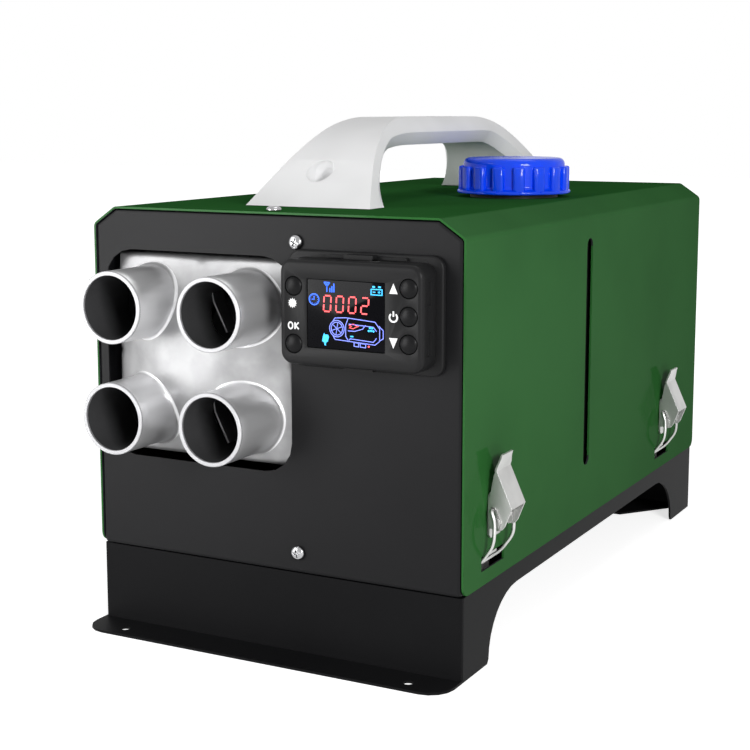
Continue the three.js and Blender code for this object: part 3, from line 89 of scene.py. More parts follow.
UP, FORWARD, BACKWARD = Vector((0, 0, 1)), Vector((0, -1, 0)), Vector((0, 1, 0))


def place(x: float, y: float, z: float) -> Vector:
    """A point of the heater in metres, in the row frame."""
    return Vector((x * MM, y * MM + FRONT, z * MM))


# ---- shader maths
class Wiring:
    """A node tree, and the one way in which nodes come into it."""

    def __init__(self, tree: bpy.types.NodeTree) -> None:
        """Starts from an empty tree."""
        self.tree = tree
        tree.nodes.clear()

    def feed(self, socket: bpy.types.NodeSocket, value: Feed) -> None:
        """Links a socket to a field or to another socket, or sets its number or colour.

        Args:
            socket: The input socket.
            value: What it is linked to or set to.
        """
        if isinstance(value, Field):
            value = value.socket
        if isinstance(value, bpy.types.NodeSocket):
            self.tree.links.new(value, socket)
        elif isinstance(value, tuple) and socket.type == "RGBA":
            socket.default_value = (*value, 1)
        else:
            socket.default_value = value

    def node(self, kind: str, sockets: dict[int | str, Feed] | None = None,
             **settings: object) -> bpy.types.Node:
        """Adds a node.

        Args:
            kind: The node's type.
            sockets: What its input sockets are given, by their number or name.
            settings: The node's own settings, which are set first.

        Returns:
            The node.
        """
        node = self.tree.nodes.new(kind)
        for key, value in settings.items():
            setattr(node, key, value)
        for key, value in (sockets or {}).items():
            self.feed(node.inputs[key], value)
        return node


class Field:
    """One output socket of a node, with ordinary arithmetic that adds Math nodes."""

    def __init__(self, wiring: Wiring, socket: bpy.types.NodeSocket) -> None:
        """Wraps an output socket of a node tree."""
        self.wiring = wiring
        self.socket = socket

    def math(self, kind: str, first: Feed, second: Feed, clamp: bool = False) -> Field:
        """A Math node of one kind on two operands, kept between 0 and 1 if it clamps."""
        node = self.wiring.node("ShaderNodeMath", {0: first, 1: second},
                                operation=kind, use_clamp=clamp)
        return Field(self.wiring, node.outputs[0])

    def __add__(self, other: Field | float) -> Field:
        """Sum."""
        return self.math("ADD", self, other)

    def __radd__(self, other: float) -> Field:
        """Sum, with the number first."""
        return self.math("ADD", other, self)

    def __sub__(self, other: Field | float) -> Field:
        """Difference."""
        return self.math("SUBTRACT", self, other)

    def __rsub__(self, other: float) -> Field:
        """Difference, with the number first."""
        return self.math("SUBTRACT", other, self)

    def __mul__(self, other: Field | float) -> Field:
        """Product."""
        return self.math("MULTIPLY", self, other)

    def __rmul__(self, other: float) -> Field:
        """Product, with the number first."""
        return self.math("MULTIPLY", other, self)

    def __pow__(self, other: Field | float) -> Field:
        """Power."""
        return self.math("POWER", self, other)

    def __rpow__(self, other: float) -> Field:
        """Power, with the number first."""
        return self.math("POWER", other, self)

    def limited(self) -> Field:
        """This field kept between 0 and 1."""
        return self.math("ADD", self, 0.0, clamp=True)

    def ramp(self, low: float, high: float) -> Field:
        """0 where this field is below low, 1 above high, and a smooth change between."""
        node = self.wiring.node("ShaderNodeMapRange",
                                {"Value": self, "From Min": low, "From Max": high},
                                interpolation_type="SMOOTHSTEP")
        return Field(self.wiring, node.outputs["Result"])

    def about(self, middle: float, spread: float) -> Field:
        """This field, which runs from 0 to 1, moved to vary by a spread about a middle."""
        return self * spread + (middle - spread / 2)


class Recipe:
    """A material under construction: its nodes, Object coordinates and shader."""

    MIX_FIRST, MIX_SECOND, MIX_RESULT = 6, 7, 2  # the Mix node's sockets for colours
    FADE_FROM, FADE_TO = 0.5, 0.9  # grazing shares between which a coat fades out

    def __init__(self, name: str, shader: str = "ShaderNodeBsdfPrincipled") -> None:
        """Starts a material with one shader.

        Args:
            name: The material's name.
            shader: The type of the shader's node.
        """
        self.material = bpy.data.materials.new(name)
        self.material.use_nodes = True
        self.wiring = Wiring(self.material.node_tree)
        self.shader = self.wiring.node(shader)
        self.wiring.node("ShaderNodeOutputMaterial", {0: self.shader.outputs[0]})
        self.coordinates = self.wiring.node("ShaderNodeTexCoord").outputs["Object"]

    def split(self) -> tuple[Field, Field, Field]:
        """The X, Y and Z of Object coordinates, in metres.

        Returns:
            The three coordinates as fields.
        """
        node = self.wiring.node("ShaderNodeSeparateXYZ", {0: self.coordinates})
        x, y, z = (Field(self.wiring, out) for out in node.outputs)
        return x, y, z

    def noise(self, scale: float, detail: float, stretch: Point3 = (1, 1, 1)) -> Field:
        """Noise over the object.

        Args:
            scale: Cells to the metre.
            detail: Octaves.
            stretch: How much finer the pattern is along each axis.

        Returns:
            The noise, about 0.5 in the middle.
        """
        mapping = self.wiring.node("ShaderNodeMapping", {0: self.coordinates, "Scale": stretch})
        node = self.wiring.node(
            "ShaderNodeTexNoise",
            {"Scale": scale, "Detail": detail, "Vector": mapping.outputs[0]})
        return Field(self.wiring, node.outputs[0])

    def cells(self, scale: float) -> Field:
        """Distance to the nearest of scattered points, for grain, by cells to the metre."""
        node = self.wiring.node("ShaderNodeTexVoronoi",
                                {"Scale": scale, "Vector": self.coordinates})
        return Field(self.wiring, node.outputs["Distance"])

    def blend(self, factor: Field, first: Colour, second: Colour) -> bpy.types.NodeSocket:
        """Two linear colours mixed by a field: the first where it is 0, the second at 1."""
        node = self.wiring.node(
            "ShaderNodeMix",
            {"Factor": factor, self.MIX_FIRST: first, self.MIX_SECOND: second},
            data_type="RGBA")
        return node.outputs[self.MIX_RESULT]

    def straight_on(self, weight: float) -> Field | float:
        """A coat weight that fades out towards grazing angles, as on a satin paint.

        Args:
            weight: The weight seen straight on.

        Returns:
            The weight as a field, or 0 where there is no coat.
        """
        if not weight:
            return 0.0
        facing = Field(self.wiring, self.wiring.node("ShaderNodeLayerWeight").outputs["Facing"])
        return (1 - facing.ramp(self.FADE_FROM, self.FADE_TO)) * weight

    def set(self, **values: Feed) -> None:
        """Sets or links the shader's sockets, with _ for the spaces in their names."""
        for key, value in values.items():
            self.wiring.feed(self.shader.inputs[key.replace("_", " ")], value)

    def relief(self, height: Field, depth: float) -> None:
        """Bumps from heights of 0 to 1, where 1 stands for a depth in mm."""
        node = self.wiring.node("ShaderNodeBump",
                                {"Strength": 1.0, "Distance": depth * MM, "Height": height})
        self.set(Normal=node.outputs[0])


# ---- finishes
def shaded(colour: Colour, share: float) -> Colour:
    """A colour at a share of its strength."""
    red, green, blue = colour
    return share * red, share * green, share * blue


@dataclass(frozen=True)
class PowderCoat:
    """Baked powder paint: a colour with faint clouding and a fine orange peel."""

    name: str
    slot: str
    colour: Colour
    cloud: Colour
    roughness: float
    peel: float  # depth of the peel in mm
    grain: float  # cells to the metre
    coat: float = 0.0
    gloss: float = 0.1  # specular level under the coat
    cloud_scale: float = 9  # cells to the metre
    band: Point2 = (0.35, 0.7)  # the noise over which one colour turns into the other
    spread: float = 0.12  # how much the roughness varies
    coat_roughness: float = 0.08
    ior: float = 1.5

    def build(self) -> Material:
        """Makes the material.

        Returns:
            The material.
        """
        recipe = Recipe(self.name)
        clouds = recipe.noise(self.cloud_scale, 3).ramp(*self.band)
        fine = recipe.noise(self.grain, 3)
        recipe.set(
            Base_Color=recipe.blend(clouds, self.colour, self.cloud),
            Roughness=fine.about(self.roughness, self.spread),
            Specular_IOR_Level=self.gloss,
            Coat_Weight=recipe.straight_on(self.coat),
            Coat_Roughness=self.coat_roughness,
            IOR=self.ior,
        )
        recipe.relief(fine, self.peel)
        return recipe.material


@dataclass(frozen=True)
class CastMetal:
    """Blasted and lightly brushed aluminium: soft streaks over a fine grain."""

    name: str
    slot: str
    colour: Colour
    shade: Colour
    roughness: float
    metallic: float = 0.7  # the blasted skin scatters light
    streak_scale: float = 70  # cells to the metre
    streak_stretch: Point3 = (1, 0.12, 1)
    grain_scale: float = 2600
    grain: float = 0.012  # depth in mm
    band: Point2 = (0.3, 0.7)
    spread: float = 0.14

    def build(self) -> Material:
        """Makes the material.

        Returns:
            The material.
        """
        recipe = Recipe(self.name)
        streaks = recipe.noise(self.streak_scale, 3, self.streak_stretch)
        grain = recipe.cells(self.grain_scale)
        recipe.set(
            Base_Color=recipe.blend(streaks.ramp(*self.band), self.shade, self.colour),
            Metallic=self.metallic,
            Roughness=streaks.about(self.roughness, self.spread),
        )
        recipe.relief(grain, self.grain)
        return recipe.material


@dataclass(frozen=True)
class PlatedSteel:
    """Bright zinc or chrome on steel, with hairline polish marks and faint blooming."""

    name: str
    slot: str
    colour: Colour
    roughness: float
    hairline: float = 0.004  # depth in mm
    hairline_scale: float = 900  # cells to the metre
    hairline_stretch: Point3 = (1, 1, 0.08)
    bloom_scale: float = 60
    bloom: float = 0.86  # share of the colour that is left where it has bloomed
    band: Point2 = (0.35, 0.7)
    spread: float = 0.12

    def build(self) -> Material:
        """Makes the material.

        Returns:
            The material.
        """
        recipe = Recipe(self.name)
        lines = recipe.noise(self.hairline_scale, 2, self.hairline_stretch)
        bloom = recipe.noise(self.bloom_scale, 2)
        dull = shaded(self.colour, self.bloom)
        recipe.set(
            Base_Color=recipe.blend(bloom.ramp(*self.band), self.colour, dull),
            Metallic=1.0,
            Roughness=bloom.about(self.roughness, self.spread),
        )
        recipe.relief(lines, self.hairline)
        return recipe.material


@dataclass(frozen=True)
class MouldedPlastic:
    """Moulded plastic or rubber with a spark-eroded grain and slight colour drift."""

    name: str
    slot: str
    colour: Colour
    roughness: float
    grain: float = 0.01  # depth in mm
    grain_scale: float = 1800  # cells to the metre
    coat: float = 0.0
    drift: float = 0.9  # share of the colour where it has drifted
    gloss: float = 0.2  # specular level under the coat
    drift_scale: float = 14
    band: Point2 = (0.3, 0.7)
    spread: float = 0.1
    coat_roughness: float = 0.05
    ior: float = 1.49

    def build(self) -> Material:
        """Makes the material.

        Returns:
            The material.
        """
        recipe = Recipe(self.name)
        broad = recipe.noise(self.drift_scale, 2)
        fine = recipe.noise(self.grain_scale, 2)
        shade = shaded(self.colour, self.drift)
        recipe.set(
            Base_Color=recipe.blend(broad.ramp(*self.band), self.colour, shade),
            Roughness=fine.about(self.roughness, self.spread),
            Specular_IOR_Level=self.gloss,
            Coat_Weight=recipe.straight_on(self.coat),
            Coat_Roughness=self.coat_roughness,
            IOR=self.ior,
        )
        recipe.relief(fine, self.grain)
        return recipe.material


@dataclass(frozen=True)
class DisplayLight:
    """A lit display segment, or print with a painted glow: a bright core colour with a fine cell
    pattern.
    """

    name: str
    slot: str
    colour: Colour
    strength: float
    cell_scale: float = 3500  # cells to the metre
    band: Point2 = (0.0, 0.8)
    dim: float = 0.72  # share of the colour between the cells
    roughness: float = 0.4

    def build(self) -> Material:
        """Makes the material.

        Returns:
            The material.
        """
        recipe = Recipe(self.name)
        cells = recipe.cells(self.cell_scale).ramp(*self.band)
        mixed = recipe.blend(cells, self.colour, shaded(self.colour, self.dim))
        recipe.set(
            Base_Color=mixed,
            Emission_Color=mixed,
            Emission_Strength=self.strength,
            Roughness=self.roughness,
        )
        return recipe.material


@dataclass(frozen=True)
class DisplayGlass:
    """The display's dark glass, with the faint rows of its unlit cells below."""

    name: str
    slot: str
    colour: Colour
    lift: float = 0.001  # how much brighter the unlit cells are
    cell_scale: float = 2200  # cells to the metre
    band: Point2 = (0.2, 0.9)
    smear_scale: float = 120
    roughness: float = 0.055
    spread: float = 0.05
    gloss: float = 0.05  # specular level
    ior: float = 1.52

    def build(self) -> Material:
        """Makes the material.

        Returns:
            The material.
        """
        recipe = Recipe(self.name)
        smear = recipe.noise(self.smear_scale, 3)
        cells = recipe.cells(self.cell_scale).ramp(*self.band)
        red, green, blue = self.colour
        lifted = (red + self.lift, green + self.lift, blue + self.lift)
        recipe.set(
            Base_Color=recipe.blend(cells, self.colour, lifted),
            Roughness=smear.about(self.roughness, self.spread),
            Specular_IOR_Level=self.gloss,
            IOR=self.ior,
        )
        return recipe.material


class Finish(Enum):
    """Every finish of the heater."""

    GREEN = PowderCoat("green_powder_coat", "case_green", (0.024, 0.112, 0.026),
                       (0.02, 0.098, 0.022), 0.34, 0.0015, 700, 0.12, 0.0)
    # near black: painted shade on the shell's inner faces, where shade falls inside the case
    INSIDE = PowderCoat("painted_shade_inside", "case_green", (0.02, 0.02, 0.024),
                        (0.017, 0.017, 0.02), 0.6, 0.01, 1800)
    PANEL = PowderCoat("black_textured_coat", "panel_black", (0.0065, 0.0065, 0.0072),
                       (0.005, 0.005, 0.0056), 0.42, 0.04, 2400, 0.0, 0.12)
    BASE = PowderCoat("black_base_coat", "panel_black", (0.006, 0.006, 0.0065),
                      (0.005, 0.005, 0.0055), 0.5, 0.03, 2100, 0.0, 0.05)
    CAST = CastMetal("blasted_aluminium", "cast_aluminium", (0.8, 0.8, 0.81), (0.7, 0.7, 0.71),
                     0.31)
    # the cast metal at half its brightness: painted shade on the duct, which lies behind the tubes
    SKIN = CastMetal("duct_cast_painted_shade", "cast_aluminium", (0.4, 0.4, 0.405),
                     (0.32, 0.32, 0.325), 0.5)  # the duct between the tubes
    RIM = CastMetal("machined_rim", "cast_aluminium", (0.42, 0.42, 0.43), (0.37, 0.37, 0.38), 0.5,
                    0.5)
    # near black: painted shade inside the manifold's bores and behind its dome, and soot on the
    # heat exchanger
    SOOT_AND_SHADE = PowderCoat("soot_and_painted_shade", "cast_aluminium", (0.05, 0.05, 0.052),
                      (0.035, 0.035, 0.036), 0.55, 0.02, 1500)
    ZINC = PlatedSteel("bright_zinc", "latch_steel", (0.56, 0.56, 0.55), 0.4)
    CHROME = PlatedSteel("polished_chrome", "screw_chrome", (0.4, 0.4, 0.41), 0.14, 0.002)
    STEEL = PlatedSteel("bare_steel", "bare_steel", (0.4, 0.4, 0.41), 0.4)
    HANDLE = MouldedPlastic("satin_grey_plastic", "handle_grey", (0.74, 0.74, 0.745), 0.45,
                            0.004, 1500)
    CAP = MouldedPlastic("blue_gloss_plastic", "cap_blue", (0.001, 0.062, 0.88), 0.2, 0.002, 900,
                         0.4, gloss=0.04)
    CONTROL = MouldedPlastic("control_housing", "control_black", (0.0125, 0.0125, 0.013), 0.4,
                             0.008, 2200, gloss=0.1)
    KEY = MouldedPlastic("moulded_key", "rubber_black", (0.006, 0.006, 0.0065), 0.34, 0.006, 2000,
                         gloss=0.1)
    RUBBER = MouldedPlastic("black_rubber", "rubber_black", (0.02, 0.02, 0.021), 0.62, 0.02, 1400)
    NYLON = MouldedPlastic("glass_filled_nylon", "nylon_black", (0.03, 0.03, 0.031), 0.48, 0.02,
                           1700)
    TANK = MouldedPlastic("blown_tank_plastic", "tank_plastic", (0.012, 0.012, 0.012), 0.5, 0.03,
                          700)
    BOARD = MouldedPlastic("circuit_board", "board_green", (0.02, 0.14, 0.05), 0.35, 0.02, 1200)
    # white print that glows faintly: the print is real, its glow is painted light
    PRINT = DisplayLight("white_print_painted_glow", "control_black", (0.9, 0.9, 0.9), 0.15)
    RED = DisplayLight("display_red", "screen", (1.0, 0.09, 0.1), 1.0)
    BLUE = DisplayLight("display_blue", "screen", (0.012, 0.13, 1.0), 1.1)
    LINES = DisplayLight("display_lines", "screen", (0.2, 0.26, 1.0), 0.9)
    CYAN = DisplayLight("display_cyan", "screen", (0.02, 0.5, 1.0), 1.0)
    GLASS = DisplayGlass("display_glass", "screen", (0.001, 0.001, 0.002))


class Paints:
    """Materials, each made once and handed out by finish."""

    def __init__(self) -> None:
        """Starts with no material made."""
        self._made: dict[Finish, Material] = {}

    def of(self, finish: Finish) -> Material:
        """The material of a finish.

        Args:
            finish: One of the heater's finishes.

        Returns:
            Its material.
        """
        if finish not in self._made:
            self._made[finish] = finish.value.build()
        return self._made[finish]


# ---- bench
class Bench:
    """Modelling steps, each on one object, as done by hand in edit mode."""

    def __init__(self, frame: dict, paints: Paints) -> None:
        self.frame = frame
        self.paints = paints

    # -- selection
    def start(self) -> None:
        """Goes to object mode with nothing selected."""
        if bpy.context.object and bpy.context.object.mode != "OBJECT":
            bpy.ops.object.mode_set(mode="OBJECT")
        bpy.ops.object.select_all(action="DESELECT")

    def take(self, *objects: Object) -> None:
        """Selects these objects alone; the first becomes the active one.

        Args:
            objects: What is selected.
        """
        self.start()
        for obj in objects:
            obj.select_set(True)
        bpy.context.view_layer.objects.active = objects[0]

    def edit(self, obj: Object, kind: str = "FACE") -> None:
        """Enters edit mode on one object with nothing selected.

        Args:
            obj: The mesh object.
            kind: What is selected in it: VERT, EDGE or FACE.
        """
        self.take(obj)
        bpy.ops.object.mode_set(mode="EDIT")
        bpy.ops.mesh.select_mode(type=kind)
        bpy.ops.mesh.select_all(action="DESELECT")

    def all(self) -> None:
        """Selects the whole mesh in edit mode."""
        bpy.ops.mesh.select_all(action="SELECT")

    def leave(self) -> None:
        """Back to object mode."""
        bpy.ops.object.mode_set(mode="OBJECT")

    def close_up(self) -> None:
        """Turns all faces outwards and goes back to object mode."""
        self.all()
        bpy.ops.mesh.normals_make_consistent(inside=False)
        self.leave()

    def select_edges(self, obj: Object, test: Test) -> None:
        """Selects edges by their two ends, then stays in edit mode.

        Args:
            obj: The mesh object.
            test: Called with the edge's two ends.
        """
        self.edit(obj, "EDGE")
        self.leave()
        points = obj.data.vertices
        for edge in obj.data.edges:
            a, b = (points[i].co for i in edge.vertices)
            edge.select = test(a, b)
        bpy.ops.object.mode_set(mode="EDIT")

    # -- starting forms
    def _named(self, name: str) -> Object:
        """Names the newest primitive and puts its place into its mesh.

        Args:
            name: Its name.

        Returns:
            The object.
        """
        obj = bpy.context.object
        obj.name = name
        obj.data.name = name
        bpy.ops.object.transform_apply(location=True, rotation=True, scale=True)
        return obj

    def block(self, name: str, low: Vector, high: Vector) -> Object:
        """A box between two corners.

        Args:
            name: Object name.
            low: Lowest corner, in metres.
            high: Highest corner, in metres.

        Returns:
            The new object.
        """
        self.start()
        size = high - low
        bpy.ops.mesh.primitive_cube_add(size=1, location=(low + high) / 2, scale=size)
        return self._named(name)

    def disc(self, name: str, centre: Vector, radius: float, depth: float, axis: str = "Z",
             sides: int = 48) -> Object:
        """A solid cylinder round a centre.

        Args:
            name: Object name.
            centre: Middle of the cylinder, in metres.
            radius: Radius in mm.
            depth: Length in mm.
            axis: Letter of the axis it runs along.
            sides: Number of sides.

        Returns:
            The new object.
        """
        self.start()
        turn = {"X": (0, math.pi / 2, 0), "Y": (math.pi / 2, 0, 0), "Z": (0, 0, 0)}[axis]
        bpy.ops.mesh.primitive_cylinder_add(
            vertices=sides, radius=radius * MM, depth=depth * MM, location=centre, rotation=turn)
        return self._named(name)

    def outline(self, name: str, points: Sequence[Vector], way: Vector) -> Object:
        """A closed outline filled and drawn out into a solid.

        Args:
            name: Object name.
            points: The outline's corners, in metres.
            way: How far and where it is drawn out.

        Returns:
            The new object.
        """
        self.start()
        bpy.ops.mesh.primitive_circle_add(vertices=len(points), radius=1, fill_type="NGON")
        obj = self._named(name)
        for vertex, point in zip(obj.data.vertices, points):
            vertex.co = point
        obj.data.update()
        self.edit(obj)
        self.all()
        bpy.ops.mesh.extrude_region_move(TRANSFORM_OT_translate={"value": way})
        self.close_up()
        return obj

    def lathe(self, name: str, profile: Sequence[Point2], centre: Vector, axis: Vector,
              steps: int) -> Object:
        """A profile spun all round an axis.

        Args:
            name: Object name.
            profile: Closed profile of (radius, height) in mm, heights along the axis.
            centre: Where height 0 meets the axis, in metres.
            axis: Unit direction of growing heights.
            steps: Steps of the spin.

        Returns:
            The new object.
        """
        self.start()
        side = axis.orthogonal().normalized()
        bpy.ops.mesh.primitive_circle_add(vertices=len(profile), radius=1, fill_type="NOTHING")
        obj = self._named(name)
        for vertex, (radius, height) in zip(obj.data.vertices, profile):
            vertex.co = centre + side * (radius * MM) + axis * (height * MM)
        obj.data.update()
        self.edit(obj, "EDGE")
        self.all()
        bpy.ops.mesh.spin(steps=steps, angle=2 * math.pi, center=centre, axis=axis)
        self.all()
        bpy.ops.mesh.remove_doubles(threshold=NEAR)
        bpy.ops.mesh.dissolve_degenerate(threshold=CLOSE)
        bpy.ops.mesh.delete_loose(use_verts=True, use_edges=True, use_faces=False)
        self.close_up()
        return obj

    def skin(self, name: str, rings: Sequence[Sequence[Vector]], capped: bool) -> Object:
        """A grid laid as a tube over closed rings of points.

        Args:
            name: Object name.
            rings: Rings with the same number of points, in metres.
            capped: Whether the first and last ring are filled.

        Returns:
            The new object.
        """
        self.start()
        rows = [[*ring, ring[0]] for ring in rings]
        across, along = len(rows[0]) - 1, len(rows) - 1
        bpy.ops.mesh.primitive_grid_add(x_subdivisions=across, y_subdivisions=along, size=1)
        obj = self._named(name)
        flat = [p for row in rows for p in row]
        obj.data.vertices.foreach_set("co", [c for p in flat for c in p])
        obj.data.update()
        self.edit(obj, "EDGE")
        self.all()
        bpy.ops.mesh.remove_doubles(threshold=SKIN_CLOSE)
        if capped:
            self.all()
            bpy.ops.mesh.fill_holes(sides=0)
        self.close_up()
        return obj

    def wire(self, name: str, points: Sequence[Vector], radius: float, smooth: int,
             sides: int) -> Object:
        """A round wire along a smooth line through points.

        Args:
            name: Object name.
            points: Points of the line, in metres.
            radius: Radius in mm.
            smooth: Steps between two points.
            sides: Bevel resolution of the section.

        Returns:
            The new object, as a mesh.
        """
        self.start()
        curve = bpy.data.curves.new(name, "CURVE")
        curve.dimensions = "3D"
        curve.bevel_depth = radius * MM
        curve.bevel_resolution = sides
        curve.use_fill_caps = True
        path = through(points, smooth)
        spline = curve.splines.new("POLY")
        spline.points.add(len(path) - 1)
        for target, point in zip(spline.points, path):
            target.co = (*point, 1)
        obj = bpy.data.objects.new(name, curve)
        bpy.context.scene.collection.objects.link(obj)
        self.take(obj)
        bpy.ops.object.convert(target="MESH")
        obj = bpy.context.object
        self.weld(obj)
        return obj

    def copy_of(self, node: str, name: str) -> Object:
        """A merged copy of a CAD node, to be finished by hand.

        Args:
            node: The CAD node's name.
            name: Name of the new object.

        Returns:
            The copy.
        """
        source = self.frame["nodes"][node]
        obj = bpy.data.objects.new(name, source.data.copy())
        bpy.context.scene.collection.objects.link(obj)
        obj.data.name = name
        obj.data.materials.clear()
        self.take(obj)
        if obj.data.has_custom_normals:
            bpy.ops.mesh.customdata_custom_splitnormals_clear()
        self.edit(obj, "VERT")
        self.all()
        bpy.ops.mesh.remove_doubles(threshold=NEAR)
        self.all()
        bpy.ops.mesh.dissolve_limited(angle_limit=math.radians(FLAT))
        self.leave()
        return obj

    # -- shaping
    def weld(self, obj: Object) -> None:
        """Merges doubles and turns all faces outwards.

        Args:
            obj: The mesh object.
        """
        self.edit(obj, "VERT")
        self.all()
        bpy.ops.mesh.remove_doubles(threshold=CLOSE)
        self.close_up()

    def apply(self, obj: Object, kind: str, **settings: object) -> None:
        """Adds a modifier and applies it.

        Args:
            obj: The object.
            kind: Modifier type.
            settings: The modifier's properties.
        """
        self.take(obj)
        modifier = obj.modifiers.new(kind.lower(), kind)
        for key, value in settings.items():
            setattr(modifier, key, value)
        bpy.ops.object.modifier_apply(modifier=modifier.name)

    def soften(self, obj: Object, width: float, segments: int = 2, angle: float = 30.0) -> None:
        """Rounds every edge that is sharper than an angle in degrees, by a width in mm."""
        self.apply(obj, "BEVEL", width=width * MM, segments=segments, limit_method="ANGLE",
                   angle_limit=math.radians(angle), use_clamp_overlap=True,
                   miter_outer="MITER_ARC", harden_normals=False)

    def bevel(self, obj: Object, width: float, segments: int, test: Test) -> None:
        """Rounds chosen edges in edit mode.

        Args:
            obj: The object.
            width: Bevel width in mm.
            segments: Bevel segments.
            test: Called with an edge's two ends.
        """
        self.select_edges(obj, test)
        bpy.ops.mesh.bevel(offset=width * MM, segments=segments, affect="EDGES",
                           clamp_overlap=True)
        self.leave()

    def boolean(self, obj: Object, tools: Iterable[Object], kind: str = "DIFFERENCE") -> None:
        """Cuts with, joins or intersects tools, which are used up.

        Args:
            obj: The object.
            tools: The other solids.
            kind: DIFFERENCE, UNION or INTERSECT.
        """
        for tool in tools:
            self.apply(obj, "BOOLEAN", operation=kind, object=tool, solver="EXACT")
            bpy.data.objects.remove(tool)

    def merge(self, first: Object, *others: Object) -> Object:
        """Joins objects into the first one's mesh.

        Args:
            first: The object that is kept.
            others: The objects that go into it.

        Returns:
            The first object.
        """
        if others:
            self.take(first, *others)
            bpy.ops.object.join()
        return first

    def ring_of(self, obj: Object, count: int, centre: Vector, axis: str = "Z") -> Object:
        """Copies an object round an axis and joins the copies.

        Args:
            obj: The object to repeat, which is the first copy.
            count: How many there are in the full turn.
            centre: A point on the axis, in metres.
            axis: Letter of the axis.

        Returns:
            One object with all copies.
        """
        copies = []
        for i in range(1, count):
            twin = bpy.data.objects.new(f"{obj.name}_{i}", obj.data.copy())
            bpy.context.scene.collection.objects.link(twin)
            self.turn(twin, centre, 2 * math.pi * i / count, axis)
            copies.append(twin)
        return self.merge(obj, *copies)

    def turn(self, obj: Object, centre: Vector, angle: float, axis: str = "Z") -> None:
        """Turns a piece's mesh about an axis through a centre, by an angle in radians."""
        turn = Matrix.Rotation(angle, 4, axis)
        obj.data.transform(Matrix.Translation(centre) @ turn @ Matrix.Translation(-centre))

    def smooth(self, obj: Object, angle: float = 30.0) -> None:
        """Smooth shading except over sharp edges."""
        self.take(obj)
        bpy.ops.object.shade_smooth_by_angle(angle=math.radians(angle))

    # -- finishing
    def dress(self, obj: Object, finish: Finish, body: str, replaces: Sequence[str] = (),
              angle: float = 32.0) -> Object:
        """Gives a finished piece its shading, material and body.

        Args:
            obj: The piece.
            finish: Its finish.
            body: The CAD body it rides on.
            replaces: CAD nodes it stands for.
            angle: Edges sharper than this stay crisp, in degrees.

        Returns:
            The piece.
        """
        self.smooth(obj, angle)
        obj.data.materials.clear()
        obj.data.materials.append(self.paints.of(finish))
        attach(obj, body)
        if replaces:
            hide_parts(*replaces)
        LOG.info("%s: %d faces, rides on %s", obj.name, len(obj.data.polygons), body)
        return obj

    def paint_faces(self, obj: Object, finish: Finish, test: Test) -> None:
        """Gives some faces a second finish.

        Args:
            obj: The piece.
            finish: The finish of the chosen faces.
            test: Called with a face's centre and normal.
        """
        obj.data.materials.append(self.paints.of(finish))
        index = len(obj.data.materials) - 1
        for face in obj.data.polygons:
            if test(face.center, face.normal):
                face.material_index = index

    def rounded(self, node: str, finish: Finish, width: float, body: str = "body",
                segments: int = 2, angle: float = 32.0) -> Object:
        """Replaces a CAD node by a copy with broken edges.

        Args:
            node: The node's name.
            finish: The copy's finish.
            width: Edge radius in mm.
            body: The CAD body it rides on.
            segments: Bevel segments.
            angle: Edges sharper than this are rounded, in degrees.

        Returns:
            The copy.
        """
        obj = self.copy_of(node, f"{node}_look")
        self.soften(obj, width, segments, angle)
        self.dress(obj, finish, body, [node], angle)
        self.apply(obj, "WEIGHTED_NORMAL", mode="FACE_AREA", weight=100, keep_sharp=True)
        return obj


def through(points: Sequence[Vector], steps: int) -> list[Vector]:
    """A smooth line through points.

    Args:
        points: The points.
        steps: Steps between two of them.

    Returns:
        Points of the line.
    """
    padded = [2 * points[0] - points[1], *points, 2 * points[-1] - points[-2]]
    line = []
    for i in range(1, len(padded) - 2):
        a, b, c, d = padded[i - 1:i + 3]
        for s in range(steps):
            t = s / steps
            line.append(0.5 * ((2 * b) + (c - a) * t + (2 * a - 5 * b + 4 * c - d) * t * t
                               + (3 * b - a - 3 * c + d) * t ** 3))
    return [*line, points[-1].copy()]


def arc(centre: Point2, radius: float, start: float, end: float, steps: int) -> list[Point2]:
    """Points along an arc from one angle to another, in degrees, both ends included."""
    angles = [math.radians(start + (end - start) * i / steps) for i in range(steps + 1)]
    return [(centre[0] + radius * math.cos(a), centre[1] + radius * math.sin(a)) for a in angles]


def rounded_box(x: float, z: float, width: float, height: float, radius: float,
                steps: int = 6) -> list[Point2]:
    """A rectangle with rounded corners round a centre.

    Args:
        x: Centre.
        z: Centre.
        width: Whole width.
        height: Whole height.
        radius: Corner radius.
        steps: Steps of each corner.

    Returns:
        The outline, anticlockwise.
    """
    w, h = width / 2 - radius, height / 2 - radius
    corners = [(w, h, 0), (-w, h, 90), (-w, -h, 180), (w, -h, 270)]
    return [p for cx, cz, a in corners for p in arc((x + cx, z + cz), radius, a, a + 90, steps)]


